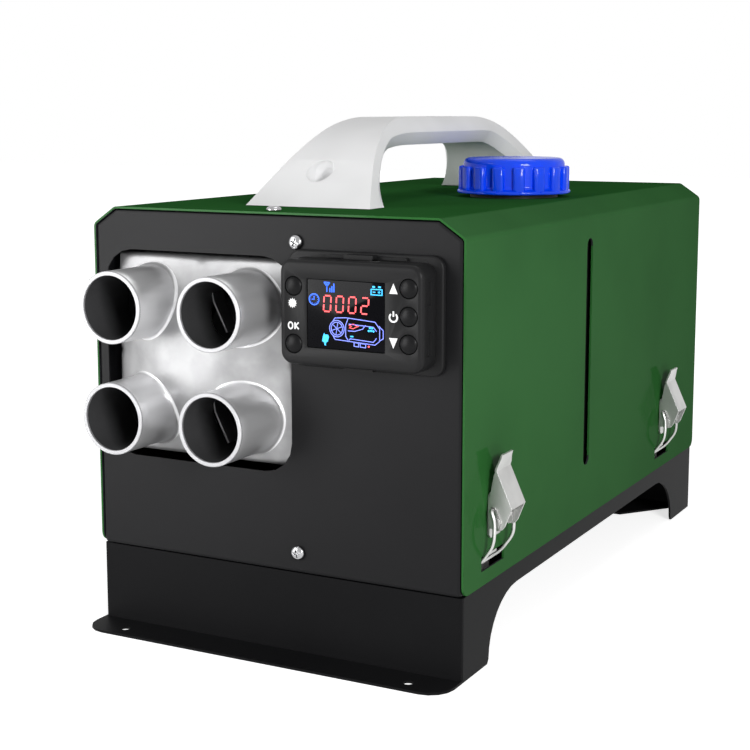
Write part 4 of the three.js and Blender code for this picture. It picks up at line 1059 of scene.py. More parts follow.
# ---- case
@dataclass
class SheetCase:
    """The folded steel pieces: base, lift-off shell, panels and inner walls."""

    bench: Bench
    edge: float = 0.35
    inner_edge: float = 0.2
    half: float = 122.5
    top: float = 256.3
    middle: float = 150.0  # a height well inside the case
    tilt: float = 0.1  # how far an inner face turns inwards at least
    face: float = 0.4  # what lies nearer than this to the outside is an outer face
    patches: tuple[Point2, ...] = ((-11.0, 9.0), (0.0, 67.0))  # closed screw holes in the top
    patch_radius: float = 2.9
    patch_depth: float = 1.2
    patch_sink: float = 0.58  # how far a patch's middle lies below the top

    def build(self) -> None:
        """Breaks the edges of every sheet piece and paints it."""
        look = self.bench.rounded
        look("base_frame", Finish.BASE, self.edge)
        shell = look("case_shell", Finish.GREEN, self.edge)
        # the shell's faces that look into the case get painted shade
        self.bench.paint_faces(shell, Finish.INSIDE, self._is_inside)
        for i, (x, y) in enumerate(self.patches):
            patch = self.bench.disc(f"shell_patch_{i}", place(x, y, self.top - self.patch_sink),
                                    self.patch_radius, self.patch_depth)
            self.bench.dress(patch, Finish.GREEN, "body")
        look("front_panel", Finish.PANEL, self.edge)
        look("rear_panel", Finish.PANEL, self.edge)
        look("divider_panel", Finish.BASE, self.inner_edge)
        look("heater_cradle", Finish.BASE, self.inner_edge)

    def _is_inside(self, centre: Vector, normal: Vector) -> bool:
        """Whether one of the shell's faces looks into the case.

        Args:
            centre: The face's centre.
            normal: The face's normal.

        Returns:
            True for a face of the inner side.
        """
        x, z = centre.x / MM, centre.z / MM
        inward = normal.x * x + normal.z * (z - self.middle) < -self.tilt
        return inward and abs(x) < self.half - self.face and z < self.top - self.face


# ---- handle
@dataclass
class CarryHandle:
    """The moulded handle: a low arch, wide at its feet, with a chamfer round its opening."""

    bench: Bench
    start: float = 43.0
    length: float = 301.0
    base: float = 256.6
    height: float = 51.9
    shoulder: float = 98.0  # where the top line has become level
    top_pull: tuple[Point2, float] = ((0.245, 0.42), 0.51)  # how its two ends are drawn out
    foot_depth: float = 18.0
    inner: float = 82.0  # where the opening's line has become level
    rear_depth: float = 27.0
    rear_inner: float = 90.0
    clear: float = 34.4  # height of the opening
    opening_pull: tuple[Point2, float] = ((0.4, 0.667), 0.74)
    foot_width: float = 84.0
    top_width: float = 34.0
    crest: float = 7.0  # height over which the top is rounded
    round_over: float = 2.2  # how much the rounding takes from each side
    flats: int = 4  # flat strips down each side
    facets: tuple[Point2, ...] = ((8.0, 0.0), (2.7, 3.0), (0.0, 5.0))  # (off the opening, inwards)
    facet_full: float = 0.8  # share of the opening's height where the facets are whole
    foot_wall: float = 1.5  # least depth of the foot
    bar_wall: float = 6.0  # least height of the bar
    foot_fall: int = 8  # how quickly a facet comes down to the foot's edge
    sections: int = 44
    edge: float = 0.9
    crease: float = 22.0
    dimple_x: float = -3.2
    dimple_at: float = 22.5
    dimple_radius: float = 9.0
    dimple_depth: float = 10.0
    dimple_above: float = 9.0
    dimple_lean: float = 70.0
    dimple_cup: tuple[Point2, ...] = ((0, 1), (0.45, 0.93), (0.8, 0.62), (1, 0))  # (radius, depth)
    dimple_around: int = 48

    def _curve(self, ends: tuple[Point2, Point2], pull: tuple[Point2, float],
               steps: int) -> list[Point2]:
        """Half of a side line, straight out of the foot and level at the top.

        Args:
            ends: The line's two ends, as (y, height).
            pull: How far the foot's end is drawn out, as shares of length and height, and how
                far the top's end is, as a share of the length.
            steps: Steps of the line.

        Returns:
            The line's points.
        """
        (y0, h0), (y1, h1) = ends
        (along, up), level = pull
        pulls = [(y0, h0), (y0 + (y1 - y0) * along, h1 * up), (y0 + (y1 - y0) * level, h1),
                 (y1, h1)]
        line = []
        for i in range(steps + 1):
            t = i / steps
            weights = ((1 - t) ** 3, 3 * t * (1 - t) ** 2, 3 * t * t * (1 - t), t ** 3)
            line.append(tuple(sum(w * p[k] for w, p in zip(weights, pulls)) for k in (0, 1)))
        return line

    def outer(self, steps: int) -> list[Point2]:
        """The front half of the top line, as (y, height)."""
        return self._curve(((0, 0), (self.shoulder, self.height)), self.top_pull, steps)

    def under(self, grow: float, steps: int, rear: bool) -> list[Point2]:
        """Half of the opening's line, grown outwards by a distance.

        Args:
            grow: The distance.
            steps: Steps of the line.
            rear: Whether it is the rear half, measured from the rear end.

        Returns:
            The line, as (y, height).
        """
        ends = ((self.rear_depth if rear else self.foot_depth, 0),
                (self.rear_inner if rear else self.inner, self.clear))
        line = self._curve(ends, self.opening_pull, steps)
        moved = []
        for i, (y, h) in enumerate(line):
            (ya, ha), (yb, hb) = line[max(i - 1, 0)], line[min(i + 1, steps)]
            long = math.hypot(yb - ya, hb - ha)
            moved.append((y - grow * (hb - ha) / long, h + grow * (yb - ya) / long))
        return moved

    def half_width(self, height: float) -> float:
        """Half the handle's width at a height, rounded over at the top.

        Args:
            height: Height above the handle's foot.

        Returns:
            The half width.
        """
        share = height / self.height
        wide = (self.foot_width + (self.top_width - self.foot_width) * share) / 2
        over = max(height - (self.height - self.crest), 0) / self.crest
        return wide - self.round_over * over * over

    def _ring(self, outer: Point2, cuts: Sequence[Point2]) -> list[Vector]:
        """One section of the handle.

        Args:
            outer: The section's point on the top line, as (y, height).
            cuts: Its point on each facet's border, from the side down to the opening.

        Returns:
            The section's corners.
        """
        (y0, h0), (y2, h2) = outer, cuts[0]
        corners = [(self.half_width(h0), y0, h0)]
        for k in range(1, self.flats + 1):
            y, h = y0 + (y2 - y0) * k / self.flats, h0 + (h2 - h0) * k / self.flats
            corners.append((self.half_width(h), y, h))
        share = min(cuts[-1][1] / (self.facet_full * self.clear), 1)
        for (y, h), (_, inwards) in zip(cuts[1:], self.facets[1:]):
            corners.append((self.half_width(h2) - inwards * share, y, h))
        loop = corners + [(-x, y, h) for x, y, h in reversed(corners)]
        return [place(x, self.start + y, self.base + h) for x, y, h in loop]

    def _half(self, rear: bool) -> list[list[Vector]]:
        """The sections of one half, the front one from its foot and the rear one to it.

        Args:
            rear: Whether it is the rear half.

        Returns:
            The sections.
        """
        steps = self.sections
        outer = self.outer(steps)
        lines = []
        for grow, _ in self.facets:
            line = self.under(grow, steps, rear)
            sunk = [h - line[0][1] * (1 - i / steps) ** self.foot_fall
                    for i, (_, h) in enumerate(line)]
            lines.append([(max(y, o[0] + self.foot_wall),
                           max(min(h, self.height - self.bar_wall), 0))
                          for (y, _), h, o in zip(line, sunk, outer)])
        rings = [self._ring(o, cuts) for o, cuts in zip(outer, zip(*lines))]
        if not rear:
            return rings
        middle = 2 * place(0, self.start + self.length / 2, 0).y
        return [[Vector((p.x, middle - p.y, p.z)) for p in ring] for ring in reversed(rings)]

    def build(self) -> None:
        """Makes the handle and its two dimples."""
        bench = self.bench
        handle = bench.skin("handle_moulding", self._half(False) + self._half(True), True)
        bench.boolean(handle, [self._dimple(-1), self._dimple(1)])
        bench.soften(handle, self.edge, 3, self.crease)
        bench.dress(handle, Finish.HANDLE, "body", ["handle"], self.crease)

    def _dimple(self, end: int) -> Object:
        """A cup that presses the dimple into one end.

        Args:
            end: -1 for the front and 1 for the rear.

        Returns:
            The cup.
        """
        at = min(self.outer(90), key=lambda p: abs(p[0] - self.dimple_at))
        y = self.start + (at[0] if end < 0 else self.length - at[0])
        lean = math.radians(self.dimple_lean)
        axis = Vector((0, end * math.sin(lean), math.cos(lean)))
        radius, deep = self.dimple_radius, self.dimple_depth
        profile = [(share * radius, -down * deep) for share, down in self.dimple_cup]
        profile += [(radius, self.dimple_above), (0, self.dimple_above)]
        return self.bench.lathe("dimple", profile, place(self.dimple_x, y, self.base + at[1]),
                                axis, self.dimple_around)


# ---- fuel cap
@dataclass
class FuelCap:
    """The screw cap: a drum with grip ribs that stand on a scalloped skirt."""

    bench: Bench
    x: float = 61.0
    y: float = 211.0
    base: float = 258.8
    radius: float = 37.25
    height: float = 23.0
    inner: float = 30.2
    drum: float = 33.4
    shoulder: float = 4.2  # radius of the drum's upper edge
    foot: float = 0.5  # chamfer of the skirt's lower edge
    lip: float = 1.1  # radius of the skirt's upper edge
    lip_z: float = 1.2
    flare: float = 2.4  # radius of the hollow between skirt and drum
    flare_z: float = 5.1
    dish: float = 9.0  # width of the rim round the sunk top
    dish_depth: float = 0.25
    roof: float = 3.0
    around: int = 160
    ribs: int = 16
    rib_turn: float = 5.4
    rib_root: float = 2.0  # how far a rib reaches into the drum
    rib_width: float = 8.0
    rib_reach: float = 36.5
    rib_low: float = 1.9
    rib_high: float = 17.6
    rib_round: float = 2.2
    rib_top_round: float = 1.2
    notch_out: float = 3.1  # how far a notch's middle lies outside the skirt
    notch_z: float = 3.2
    notch_radius: float = 3.9
    notch_depth: float = 3.4

    def build(self) -> None:
        """Makes the cap."""
        bench = self.bench
        centre = place(self.x, self.y, self.base)
        r, h = self.drum, self.height
        shoulder = arc((r - self.shoulder, h - self.shoulder), self.shoulder, 0, 90, 8)
        skirt = arc((self.radius - self.lip, self.lip_z), self.lip, 0, 70, 4)
        flare = arc((r + self.flare, self.flare_z), self.flare, 250, 180, 6)
        profile = [(self.inner, 0), (self.radius - self.foot, 0), (self.radius, self.foot),
                   *skirt, *flare, *shoulder,
                   (r - self.dish, h - self.dish_depth), (0, h - self.dish_depth),
                   (0, h - self.roof), (self.inner, h - self.roof)]
        cap = bench.lathe("fuel_cap_moulding", profile, centre, UP, self.around)
        bench.boolean(cap, [self._notches(centre)])
        bench.weld(cap)
        cap = bench.merge(cap, self._ribs(centre))
        bench.dress(cap, Finish.CAP, "fuel_cap", ["fuel_cap"], CREASE)

    def _ribs(self, centre: Vector) -> Object:
        """The rounded grip ribs.

        Args:
            centre: The cap's foot on its axis, in metres.

        Returns:
            All ribs as one object.
        """
        bench = self.bench
        half = self.rib_width / 2
        low = place(self.x + self.drum - self.rib_root, self.y - half, self.base + self.rib_low)
        high = place(self.x + self.rib_reach, self.y + half, self.base + self.rib_high)
        rib = bench.block("rib", low, high)
        outer = (self.x + self.rib_reach - 0.1) * MM
        top = (self.base + self.rib_high - 0.1) * MM
        bench.bevel(rib, self.rib_round, 5,
                    lambda a, b: min(a.x, b.x) > outer and abs(a.y - b.y) < 1e-6)
        bench.bevel(rib, self.rib_top_round, 4, lambda a, b: min(a.z, b.z) > top)
        bench.turn(rib, centre, math.radians(self.rib_turn))
        return bench.ring_of(rib, self.ribs, centre)

    def _notches(self, centre: Vector) -> Object:
        """Small cuts in the skirt below each rib, which leave scallops between them.

        Args:
            centre: The cap's foot on its axis, in metres.

        Returns:
            All cutters as one object.
        """
        at = centre + Vector(((self.radius + self.notch_out) * MM, 0, self.notch_z * MM))
        notch = self.bench.disc("notch", at, self.notch_radius, self.notch_depth, "Z", 4)
        self.bench.turn(notch, centre, math.radians(self.rib_turn))
        return self.bench.ring_of(notch, self.ribs, centre)


# ---- manifold
@dataclass
class AirManifold:
    """The cast manifold: a pillow-shaped duct with four tubes that grow out of it."""

    bench: Bench
    x: float = -49.7
    z: float = 168.9
    step_x: float = 33.6
    step_z: float = 32.3
    width: float = 123.8
    height: float = 120.0
    radius: float = 21.0
    wall: float = 2.4
    reach: float = 38.0
    lip: float = 1.2  # length of a tube's tapered end
    lip_edge: float = 0.35
    rise: float = 10.0  # how far the dome's middle stands in front of the panel
    sink: float = 8.5  # how far its rim lies behind the panel
    run: float = 52.0  # from the rim to where the dome is full
    soft: float = 9.0  # how softly the dome turns a corner
    turn: float = 2.6  # radius of the rim
    fillet: float = 2.2
    fillet_share: float = 0.62  # the most of the space beside a tube that its fillet takes
    fillet_steps: tuple[float, ...] = (0, 0.04, 0.1, 0.2, 0.32, 0.45, 0.6, 0.75, 0.9, 1)
    flat_steps: int = 7
    tube_steps: Point2 = (30.0, 24.0)
    back: float = 40.0
    wall_steps: tuple[float, ...] = (0, 1, 3, 8, 16, 27.5)  # depths behind the dome's rim
    around: int = 96
    end_depth: float = 1.4  # length of the machined end
    end_proud: float = 0.05  # how far it stands in front of the tube
    seam: tuple[Point2, ...] = ((-18.2, 14.7), (-16.4, 3.6), (-7.4, -14.0))  # the guide's line
    seam_width: float = 1.3
    seam_at: float = -8.0
    seam_depth: float = 12.0
    seam_edge: float = 0.2

    def dome(self, u: float, v: float) -> float:
        """Depth of the dome behind the panel at a place from the duct's centre.

        Args:
            u: Offset along X.
            v: Offset along Z.

        Returns:
            The depth, negative in front of the panel.
        """
        a, b = self.width / 2 - abs(u), self.height / 2 - abs(v)
        soft, turn = self.soft, self.turn
        near = -soft * math.log(math.exp(-max(a, 0) / soft) + math.exp(-max(b, 0) / soft))
        share = min(max((near + soft * math.log(2)) / self.run, 0), 1)
        edge = min(max(a, 0), max(b, 0))
        drop = 0 if edge > turn else turn * (1 - math.sqrt(max(1 - (1 - edge / turn) ** 2, 0)))
        return self.sink - (self.sink + self.rise) * share * share * (3 - 2 * share) + drop

    def _border(self, angle: float) -> float:
        """Distance from a tube's axis to the border of its quarter, at an angle.

        Args:
            angle: The angle in radians.

        Returns:
            The distance.
        """
        c, s = math.cos(angle), math.sin(angle)
        out_x = self.width / 2 - self.step_x if c > 0 else self.step_x
        out_z = self.height / 2 - self.step_z if s > 0 else self.step_z
        return min(out_x / abs(c) if abs(c) > 1e-9 else math.inf,
                   out_z / abs(s) if abs(s) > 1e-9 else math.inf)

    def _angles(self) -> list[float]:
        """Angles round a tube, with one at each corner of its quarter.

        Returns:
            The angles in radians, in order.
        """
        out_x, in_x = self.width / 2 - self.step_x, self.step_x
        out_z, in_z = self.height / 2 - self.step_z, self.step_z
        corners = [math.atan2(out_z, out_x), math.atan2(out_z, -in_x),
                   math.atan2(-in_z, -in_x) + 2 * math.pi,
                   math.atan2(-in_z, out_x) + 2 * math.pi]
        angles, each = [], self.around // 4
        for i, start in enumerate(corners):
            end = corners[(i + 1) % 4] + (2 * math.pi if i == 3 else 0)
            angles += [start + (end - start) * k / each for k in range(each)]
        return angles

    def _line(self, side: int, level: int, angle: float) -> list[Vector]:
        """One line from a tube's end, over its fillet, to the border of its quarter.

        Args:
            side: -1 for the left tubes and 1 for the right ones.
            level: -1 for the lower tubes and 1 for the upper ones.
            angle: Where the line starts, round the tube.

        Returns:
            The line's points, in metres.
        """
        border = self._border(angle)
        fillet = min(self.fillet, (border - self.radius) * self.fillet_share)
        c, s = math.cos(angle), math.sin(angle)

        def offset(r: float) -> Point2:
            """The offset from the duct's centre at a distance from the tube's axis."""
            return self.step_x + r * c, self.step_z + r * s

        path = [(self.radius - self.lip, -self.reach),
                (self.radius - self.lip_edge, -self.reach + self.lip_edge)]
        path += [(self.radius, -y) for y in (self.reach - self.lip, *self.tube_steps)]
        for share in self.fillet_steps:
            a = share * math.pi / 2
            r = self.radius + fillet * (1 - math.cos(a))
            path.append((r, self.dome(*offset(r)) - fillet * (1 - math.sin(a))))
        flat = border - self.radius - fillet
        for k in range(1, self.flat_steps + 1):
            r = self.radius + fillet + flat * k / self.flat_steps
            path.append((r, self.dome(*offset(r))))
        line = []
        for r, y in path:
            u, v = offset(r)
            line.append(place(self.x + side * u, y, self.z + level * v))
        return line

    def _quarter(self, side: int, level: int) -> Object:
        """One tube and the quarter of the dome round it, as an open skin."""
        lines = [self._line(side, level, angle) for angle in self._angles()]
        return self.bench.skin(f"outlet_{side}_{level}", list(zip(*lines)), False)

    def _walls(self) -> Object:
        """The duct's side walls, from the dome's rim backwards.

        Returns:
            The open skin.
        """
        rim = self._rim()
        rings = []
        for depth in self.wall_steps:
            rings.append([place(self.x + u, min(self.dome(u, v) + depth, self.back), self.z + v)
                          for u, v in rim])
        return self.bench.skin("duct_walls", rings, False)

    def _rim(self) -> list[Point2]:
        """The border of the four quarters, in order, as offsets from the duct's centre.

        Returns:
            The offsets, anticlockwise.
        """
        quarter = []
        for angle in self._angles():
            r = self._border(angle)
            u, v = self.step_x + r * math.cos(angle), self.step_z + r * math.sin(angle)
            if u > self.width / 2 - 1e-6 or v > self.height / 2 - 1e-6:
                quarter.append((u, v))
        points = {(round(s * u, 5), round(t * v, 5))
                  for u, v in quarter for s in (-1, 1) for t in (-1, 1)}
        return sorted(points, key=lambda p: math.atan2(p[1], p[0]))

    def build(self) -> None:
        """Makes the casting, gives it a wall, and adds the tubes' ends and guide plates."""
        bench = self.bench
        parts = [self._quarter(s, k) for s in (-1, 1) for k in (-1, 1)]
        body = bench.merge(*parts, self._walls())
        body.name = "air_manifold_casting"
        bench.weld(body)
        self._face_forward(body)
        bench.apply(body, "SOLIDIFY", thickness=self.wall * MM, offset=-1, use_even_offset=True)
        bench.weld(body)
        bench.dress(body, Finish.CAST, "body", ["air_manifold"], CREASE)
        self._paint(body)
        ends = [self._end_ring(x, z) for x, z in self._axes()]
        bench.dress(bench.merge(*ends), Finish.RIM, "body", angle=CREASE)
        for level in (-1, 1):
            self._baffle(level)

    def _axes(self) -> list[Point2]:
        """Where the four tubes' axes stand, as (x, z)."""
        return [(self.x + s * self.step_x, self.z + k * self.step_z)
                for s in (-1, 1) for k in (-1, 1)]

    def _paint(self, body: Object) -> None:
        """Paints the casting's duct and its inside darker, as painted shade, and the ends of its
        tubes.

        Args:
            body: The casting.
        """
        axes = self._axes()

        def off_axis(centre: Vector) -> float:
            """A face's distance from the nearest tube's axis."""
            x, z = centre.x / MM, centre.z / MM
            return min(math.hypot(x - cx, z - cz) for cx, cz in axes)

        def depth(centre: Vector) -> float:
            """A face's place along Y, from the panel's face."""
            return (centre.y - FRONT) / MM

        def inside(centre: Vector, normal: Vector) -> bool:
            """Whether a face lies on the inner wall.

            Args:
                centre: The face's centre.
                normal: The face's normal.

            Returns:
                True for a face of the inner wall.
            """
            if off_axis(centre) < self.radius - self.wall + 0.4:
                if depth(centre) > -self.reach + 1.5:
                    return True
            return depth(centre) > -2 and normal.y > 0.05

        def duct(centre: Vector, normal: Vector) -> bool:
            """Whether a face lies on the duct, beside the tubes and their fillets."""
            return off_axis(centre) > self.radius + self.fillet - 0.2

        def rim(centre: Vector, normal: Vector) -> bool:
            """Whether a face lies on the end of a tube."""
            return depth(centre) < -self.reach + self.lip + 0.1

        # the duct and the inner wall get painted shade; the tube ends get their machined finish
        for finish, test in ((Finish.SKIN, duct), (Finish.SOOT_AND_SHADE, inside), (Finish.RIM, rim)):
            self.bench.paint_faces(body, finish, test)

    def _end_ring(self, x: float, z: float) -> Object:
        """The flat machined end of one tube.

        Args:
            x: The tube's axis.
            z: The tube's axis.

        Returns:
            The ring.
        """
        inner, outer = self.radius - self.wall, self.radius
        profile = [(inner, 0.2), (inner + 0.2, 0), (outer - self.lip_edge, 0),
                   (outer, self.lip_edge), (outer, self.end_depth), (inner, self.end_depth)]
        seat = place(x, -self.reach - self.end_proud, z)
        return self.bench.lathe("tube_end", profile, seat, BACKWARD, self.around)

    def _baffle(self, level: int) -> None:
        """The bent guide plate inside one of the right tubes.

        Args:
            level: -1 for the lower tube and 1 for the upper one.
        """
        x, z = self.x + self.step_x, self.z + level * self.step_z
        line = stroke([(x + u, z + v) for u, v in self.seam], self.seam_width)
        plate = self.bench.outline(f"tube_baffle_{'upper' if level > 0 else 'lower'}",
                                   [place(u, self.seam_at, v) for u, v in line],
                                   BACKWARD * (self.seam_depth * MM))
        self.bench.soften(plate, self.seam_edge)
        self.bench.dress(plate, Finish.STEEL, "body")

    def _face_forward(self, body: Object) -> None:
        """Turns the open skin's faces to the front.

        Args:
            body: The open skin.
        """
        total = sum(face.normal.y * face.area for face in body.data.polygons)
        if total > 0:
            self.bench.edit(body)
            self.bench.all()
            bpy.ops.mesh.flip_normals()
            self.bench.leave()


# ---- controller
@dataclass
class Controller:
    """The control panel: housing, clips, keys, printed symbols and a lit display."""

    bench: Bench
    x: float = 63.0
    z: float = 203.6
    width: float = 87.5
    height: float = 58.0
    front: float = 20.0
    back: float = 3.6
    corner: float = 7.0
    face_round: float = 2.6
    wall: float = 1.8
    edge: float = 0.25
    plate_size: Point2 = (96.0, 65.4)
    plate_front: float = 3.3
    plate_depth: float = 3.0
    plate_round: float = 1.2
    clip_size: Point2 = (18.0, 2.4)
    clip_off: float = 1.6
    clip_y: Point2 = (-10.0, -2.0)
    rail_size: Point2 = (50.0, 1.6)
    rail_shift: float = 2.0
    rail_off: float = 1.2
    rail_y: Point2 = (-5.2, -2.2)
    end_slot: float = 1.1  # its depth
    end_slot_y: Point2 = (-13.4, -9.4)
    end_slot_z: Point2 = (7.0, 20.0)
    clip_slot: float = 0.9
    clip_slot_x: Point2 = (-12.0, 14.0)
    clip_slot_y: Point2 = (-14.5, -8.0)
    over: float = 2.0  # how far the slots' cutters stand out
    screen_x: float = 60.6
    screen_width: float = 48.0
    screen_height: float = 38.0
    screen_sink: float = 0.4
    glass_gap: float = 0.6
    glass_depth: float = 5.0
    glass_edge: float = 0.2
    key_radius: float = 5.2
    key_gap: float = 0.3
    key_crown: float = 2.1
    key_sink: float = 0.6  # where a key's dome begins, behind the face
    key_root: float = 12.5
    key_around: int = 48
    left_keys: tuple[float, float, float] = (9.0, -1.5, 15.9)  # (inset, height, step)
    right_keys: tuple[float, float, float] = (8.2, 1.7, 14.8)
    ink: float = 0.12
    sign_gap: float = 8.9  # from the right keys to their symbols
    sign_rise: tuple[tuple[str, float], ...] = (("up", -0.4), ("power", -0.6), ("down", 0.2))
    arrow_up: tuple[Point2, ...] = ((-2.5, -2.7), (2.5, -2.7), (0, 2.9))
    arrow_down: tuple[Point2, ...] = ((-2.5, 2.7), (0, -2.9), (2.5, 2.7))
    sun_at: Point2 = (-0.6, 5.0)  # from the left keys' axis and the housing's middle
    ok_z: float = -7.4
    digits_at: Point2 = (0.26, 0.34)  # the first digit's middle, in shares of the display
    digit_step: float = 0.163

    def build(self) -> None:
        """Makes every piece of the controller."""
        self._bracket()
        self._housing()
        self._keys()
        self._glass()
        self._symbols()
        self._display()

    def keys(self) -> dict[str, Point2]:
        """Each key's centre by its node's name.

        Returns:
            Each key's place in the panel's plane.
        """
        inset, low, low_step = self.left_keys
        left, low = self.x - self.width / 2 + inset, self.z + low
        inset, high, high_step = self.right_keys
        right, high = self.x + self.width / 2 - inset, self.z + high
        return {
            "button_menu": (left, low + low_step),
            "button_ok": (left, low - low_step),
            "button_up": (right, high + high_step),
            "button_power": (right, high),
            "button_down": (right, high - high_step),
        }

    def _plate(self, name: str, points: Sequence[Point2], y: float, depth: float) -> Object:
        """An outline in the panel's plane, drawn out towards the back."""
        return self.bench.outline(name, [place(x, y, z) for x, z in points],
                                  BACKWARD * (depth * MM))

    def _bracket(self) -> None:
        """The rounded mounting plate with its clip tabs."""
        bench = self.bench
        outline = rounded_box(self.x, self.z, *self.plate_size, self.corner, 8)
        plate = self._plate("controller_plate", outline, -self.plate_front, self.plate_depth)
        face = FRONT - (self.plate_front - 0.1) * MM
        bench.bevel(plate, self.plate_round, 3, lambda a, b: max(a.y, b.y) < face)
        tabs = []
        for k in (-1, 1):
            z = self.z + k * (self.height / 2 + self.clip_off)
            clip, (near, far) = rounded_box(self.x, z, *self.clip_size, 0.8, 3), self.clip_y
            tabs.append(self._plate("clip", clip, near, far - near))
            z = self.z + k * (self.height / 2 + self.rail_off)
            rail = rounded_box(self.x + self.rail_shift, z, *self.rail_size, 0.5, 2)
            near, far = self.rail_y
            tabs.append(self._plate("rail", rail, near, far - near))
        bench.boolean(plate, tabs, "UNION")
        bench.weld(plate)
        bench.dress(plate, Finish.CONTROL, "body", ["controller_bracket"])

    def _housing(self) -> None:
        """The front housing with its screen window, key holes and ribbed end."""
        bench = self.bench
        outline = rounded_box(self.x, self.z, self.width, self.height, self.corner, 8)
        box = self._plate("controller_housing", outline, -self.front, self.front - self.back)
        face = FRONT - (self.front - 0.1) * MM
        bench.bevel(box, self.face_round, 5, lambda a, b: max(a.y, b.y) < face)
        bench.boolean(box, [self._hollow(), self._window(), *self._key_holes(), *self._slots()])
        bench.weld(box)
        bench.soften(box, self.edge, 2, CREASE)
        bench.dress(box, Finish.CONTROL, "body", ["controller_bezel"])

    def _hollow(self) -> Object:
        """The space inside the housing.

        Returns:
            The cutter.
        """
        depth = self.front - self.wall
        inner = rounded_box(self.x, self.z, self.width - 2 * self.wall,
                            self.height - 2 * self.wall, self.corner - self.wall, 6)
        return self._plate("hollow", inner, -depth, depth + 2)

    def _window(self) -> Object:
        """The opening in front of the display."""
        screen = rounded_box(self.screen_x, self.z, self.screen_width, self.screen_height, 0.8, 3)
        return self._plate("window", screen, -self.front - 1, 6)

    def _key_holes(self) -> list[Object]:
        """A cutter for each key's hole."""
        return [self.bench.disc("key_hole", place(x, -self.front, z),
                                self.key_radius + self.key_gap, 9, "Y")
                for x, z in self.keys().values()]

    def _slots(self) -> list[Object]:
        """The slots in the right end and those behind the clips.

        Returns:
            The cutters.
        """
        slots = []
        right = self.x + self.width / 2
        left_x, right_x = self.clip_slot_x
        for k in (-1, 1):
            low, high = sorted(self.z + k * z for z in self.end_slot_z)
            near, far = self.end_slot_y
            slots.append(self.bench.block("end_slot", place(right - self.end_slot, near, low),
                                          place(right + self.over, far, high)))
        for k in (-1, 1):
            edge = self.z + k * self.height / 2
            low, high = sorted((edge - k * self.clip_slot, edge + k * self.over))
            near, far = self.clip_slot_y
            slots.append(self.bench.block("clip_slot", place(self.x + left_x, near, low),
                                          place(self.x + right_x, far, high)))
        return slots

    def _keys(self) -> None:
        """Domed keys that stand in their holes."""
        foot = self.front - self.key_sink
        for node, (x, z) in self.keys().items():
            dome = [(self.key_radius * math.cos(math.radians(a)),
                     foot + self.key_crown * math.sin(math.radians(a))) for a in range(0, 90, 10)]
            profile = [(0, self.key_root), (self.key_radius, self.key_root), *dome,
                       (0, foot + self.key_crown)]
            key = self.bench.lathe(f"{node}_dome", profile, place(x, 0, z), FORWARD,
                                   self.key_around)
            self.bench.dress(key, Finish.KEY, node, [node], CREASE)

    def _glass(self) -> None:
        """The display's glass, just below the housing's face."""
        points = rounded_box(self.screen_x, self.z, self.screen_width - self.glass_gap,
                             self.screen_height - self.glass_gap, 0.6, 3)
        glass = self._plate("display_glass", points, -self.front + self.screen_sink,
                            self.glass_depth)
        self.bench.soften(glass, self.glass_edge)
        self.bench.dress(glass, Finish.GLASS, "body", ["lcd_screen"])

    # -- print and display
    def _sign(self, name: str, shapes: Sequence[Sequence[Point2]], y: float,
              finish: Finish) -> None:
        """Flat shapes joined into one printed or lit piece.

        Args:
            name: Object name.
            shapes: Outlines in the panel's plane.
            y: Where their face lies.
            finish: Their finish.
        """
        made = [self._plate(f"{name}_{i}", shape, y - self.ink, self.ink)
                for i, shape in enumerate(shapes)]
        piece = self.bench.merge(*made)
        piece.name = name
        self.bench.dress(piece, finish, "body")

    def _symbols(self) -> None:
        """The white symbols beside the keys."""
        keys = self.keys()
        left, right = keys["button_menu"][0], keys["button_up"][0] - self.sign_gap
        up, mid, down = (keys[f"button_{key}"][1] + rise for key, rise in self.sign_rise)
        sun_x, sun_z = self.sun_at
        shapes = [self._sun(left + sun_x, self.z + sun_z),
                  [(right + u, up + v) for u, v in self.arrow_up],
                  [(right + u, down + v) for u, v in self.arrow_down],
                  *self._power(right, mid), *self._ok(left, self.z + self.ok_z)]
        # the print glows faintly, which is painted light
        self._sign("printed_symbols", shapes, -self.front, Finish.PRINT)

    def _power(self, x: float, z: float) -> Shapes:
        """The power symbol: an open ring with a bar in its gap."""
        return [stroke(arc((x, z - 0.3), 2.3, 128, 412, 20), 0.95),
                stroke([(x, z + 0.2), (x, z + 3.1)], 0.95)]

    def _sun(self, x: float, z: float) -> list[Point2]:
        """A star with twelve short points round a centre.

        Args:
            x: Its centre.
            z: Its centre.

        Returns:
            The outline.
        """
        star = []
        for i in range(24):
            r = 2.9 if i % 2 == 0 else 1.9
            a = math.radians(15 * i)
            star.append((x + r * math.cos(a), z + r * math.sin(a)))
        return star

    def _ok(self, x: float, z: float) -> Shapes:
        """The two letters below the sun, round a centre.

        Args:
            x: Their centre.
            z: Their centre.

        Returns:
            The outlines.
        """
        tall = 1.85  # half the letters' height
        return [stroke(arc((x - 1.9, z), 1.35, 90, 449, 16), 0.8, 1.35),
                stroke([(x + 0.9, z - tall), (x + 0.9, z + tall)], 0.85),
                stroke([(x + 3.2, z + tall), (x + 1.3, z), (x + 3.3, z - tall)], 0.8)]

    def at(self, u: float, v: float) -> Point2:
        """A point of the display from shares of its width and height, from the upper left."""
        return (self.screen_x + (u - 0.5) * (self.screen_width - 1),
                self.z + (0.5 - v) * (self.screen_height - 1))

    def _drawn(self, lines: Iterable[Sequence[Point2]], width: float) -> Shapes:
        """Strokes of one width along lines that are given in shares of the display."""
        return [stroke([self.at(u, v) for u, v in line], width) for line in lines]

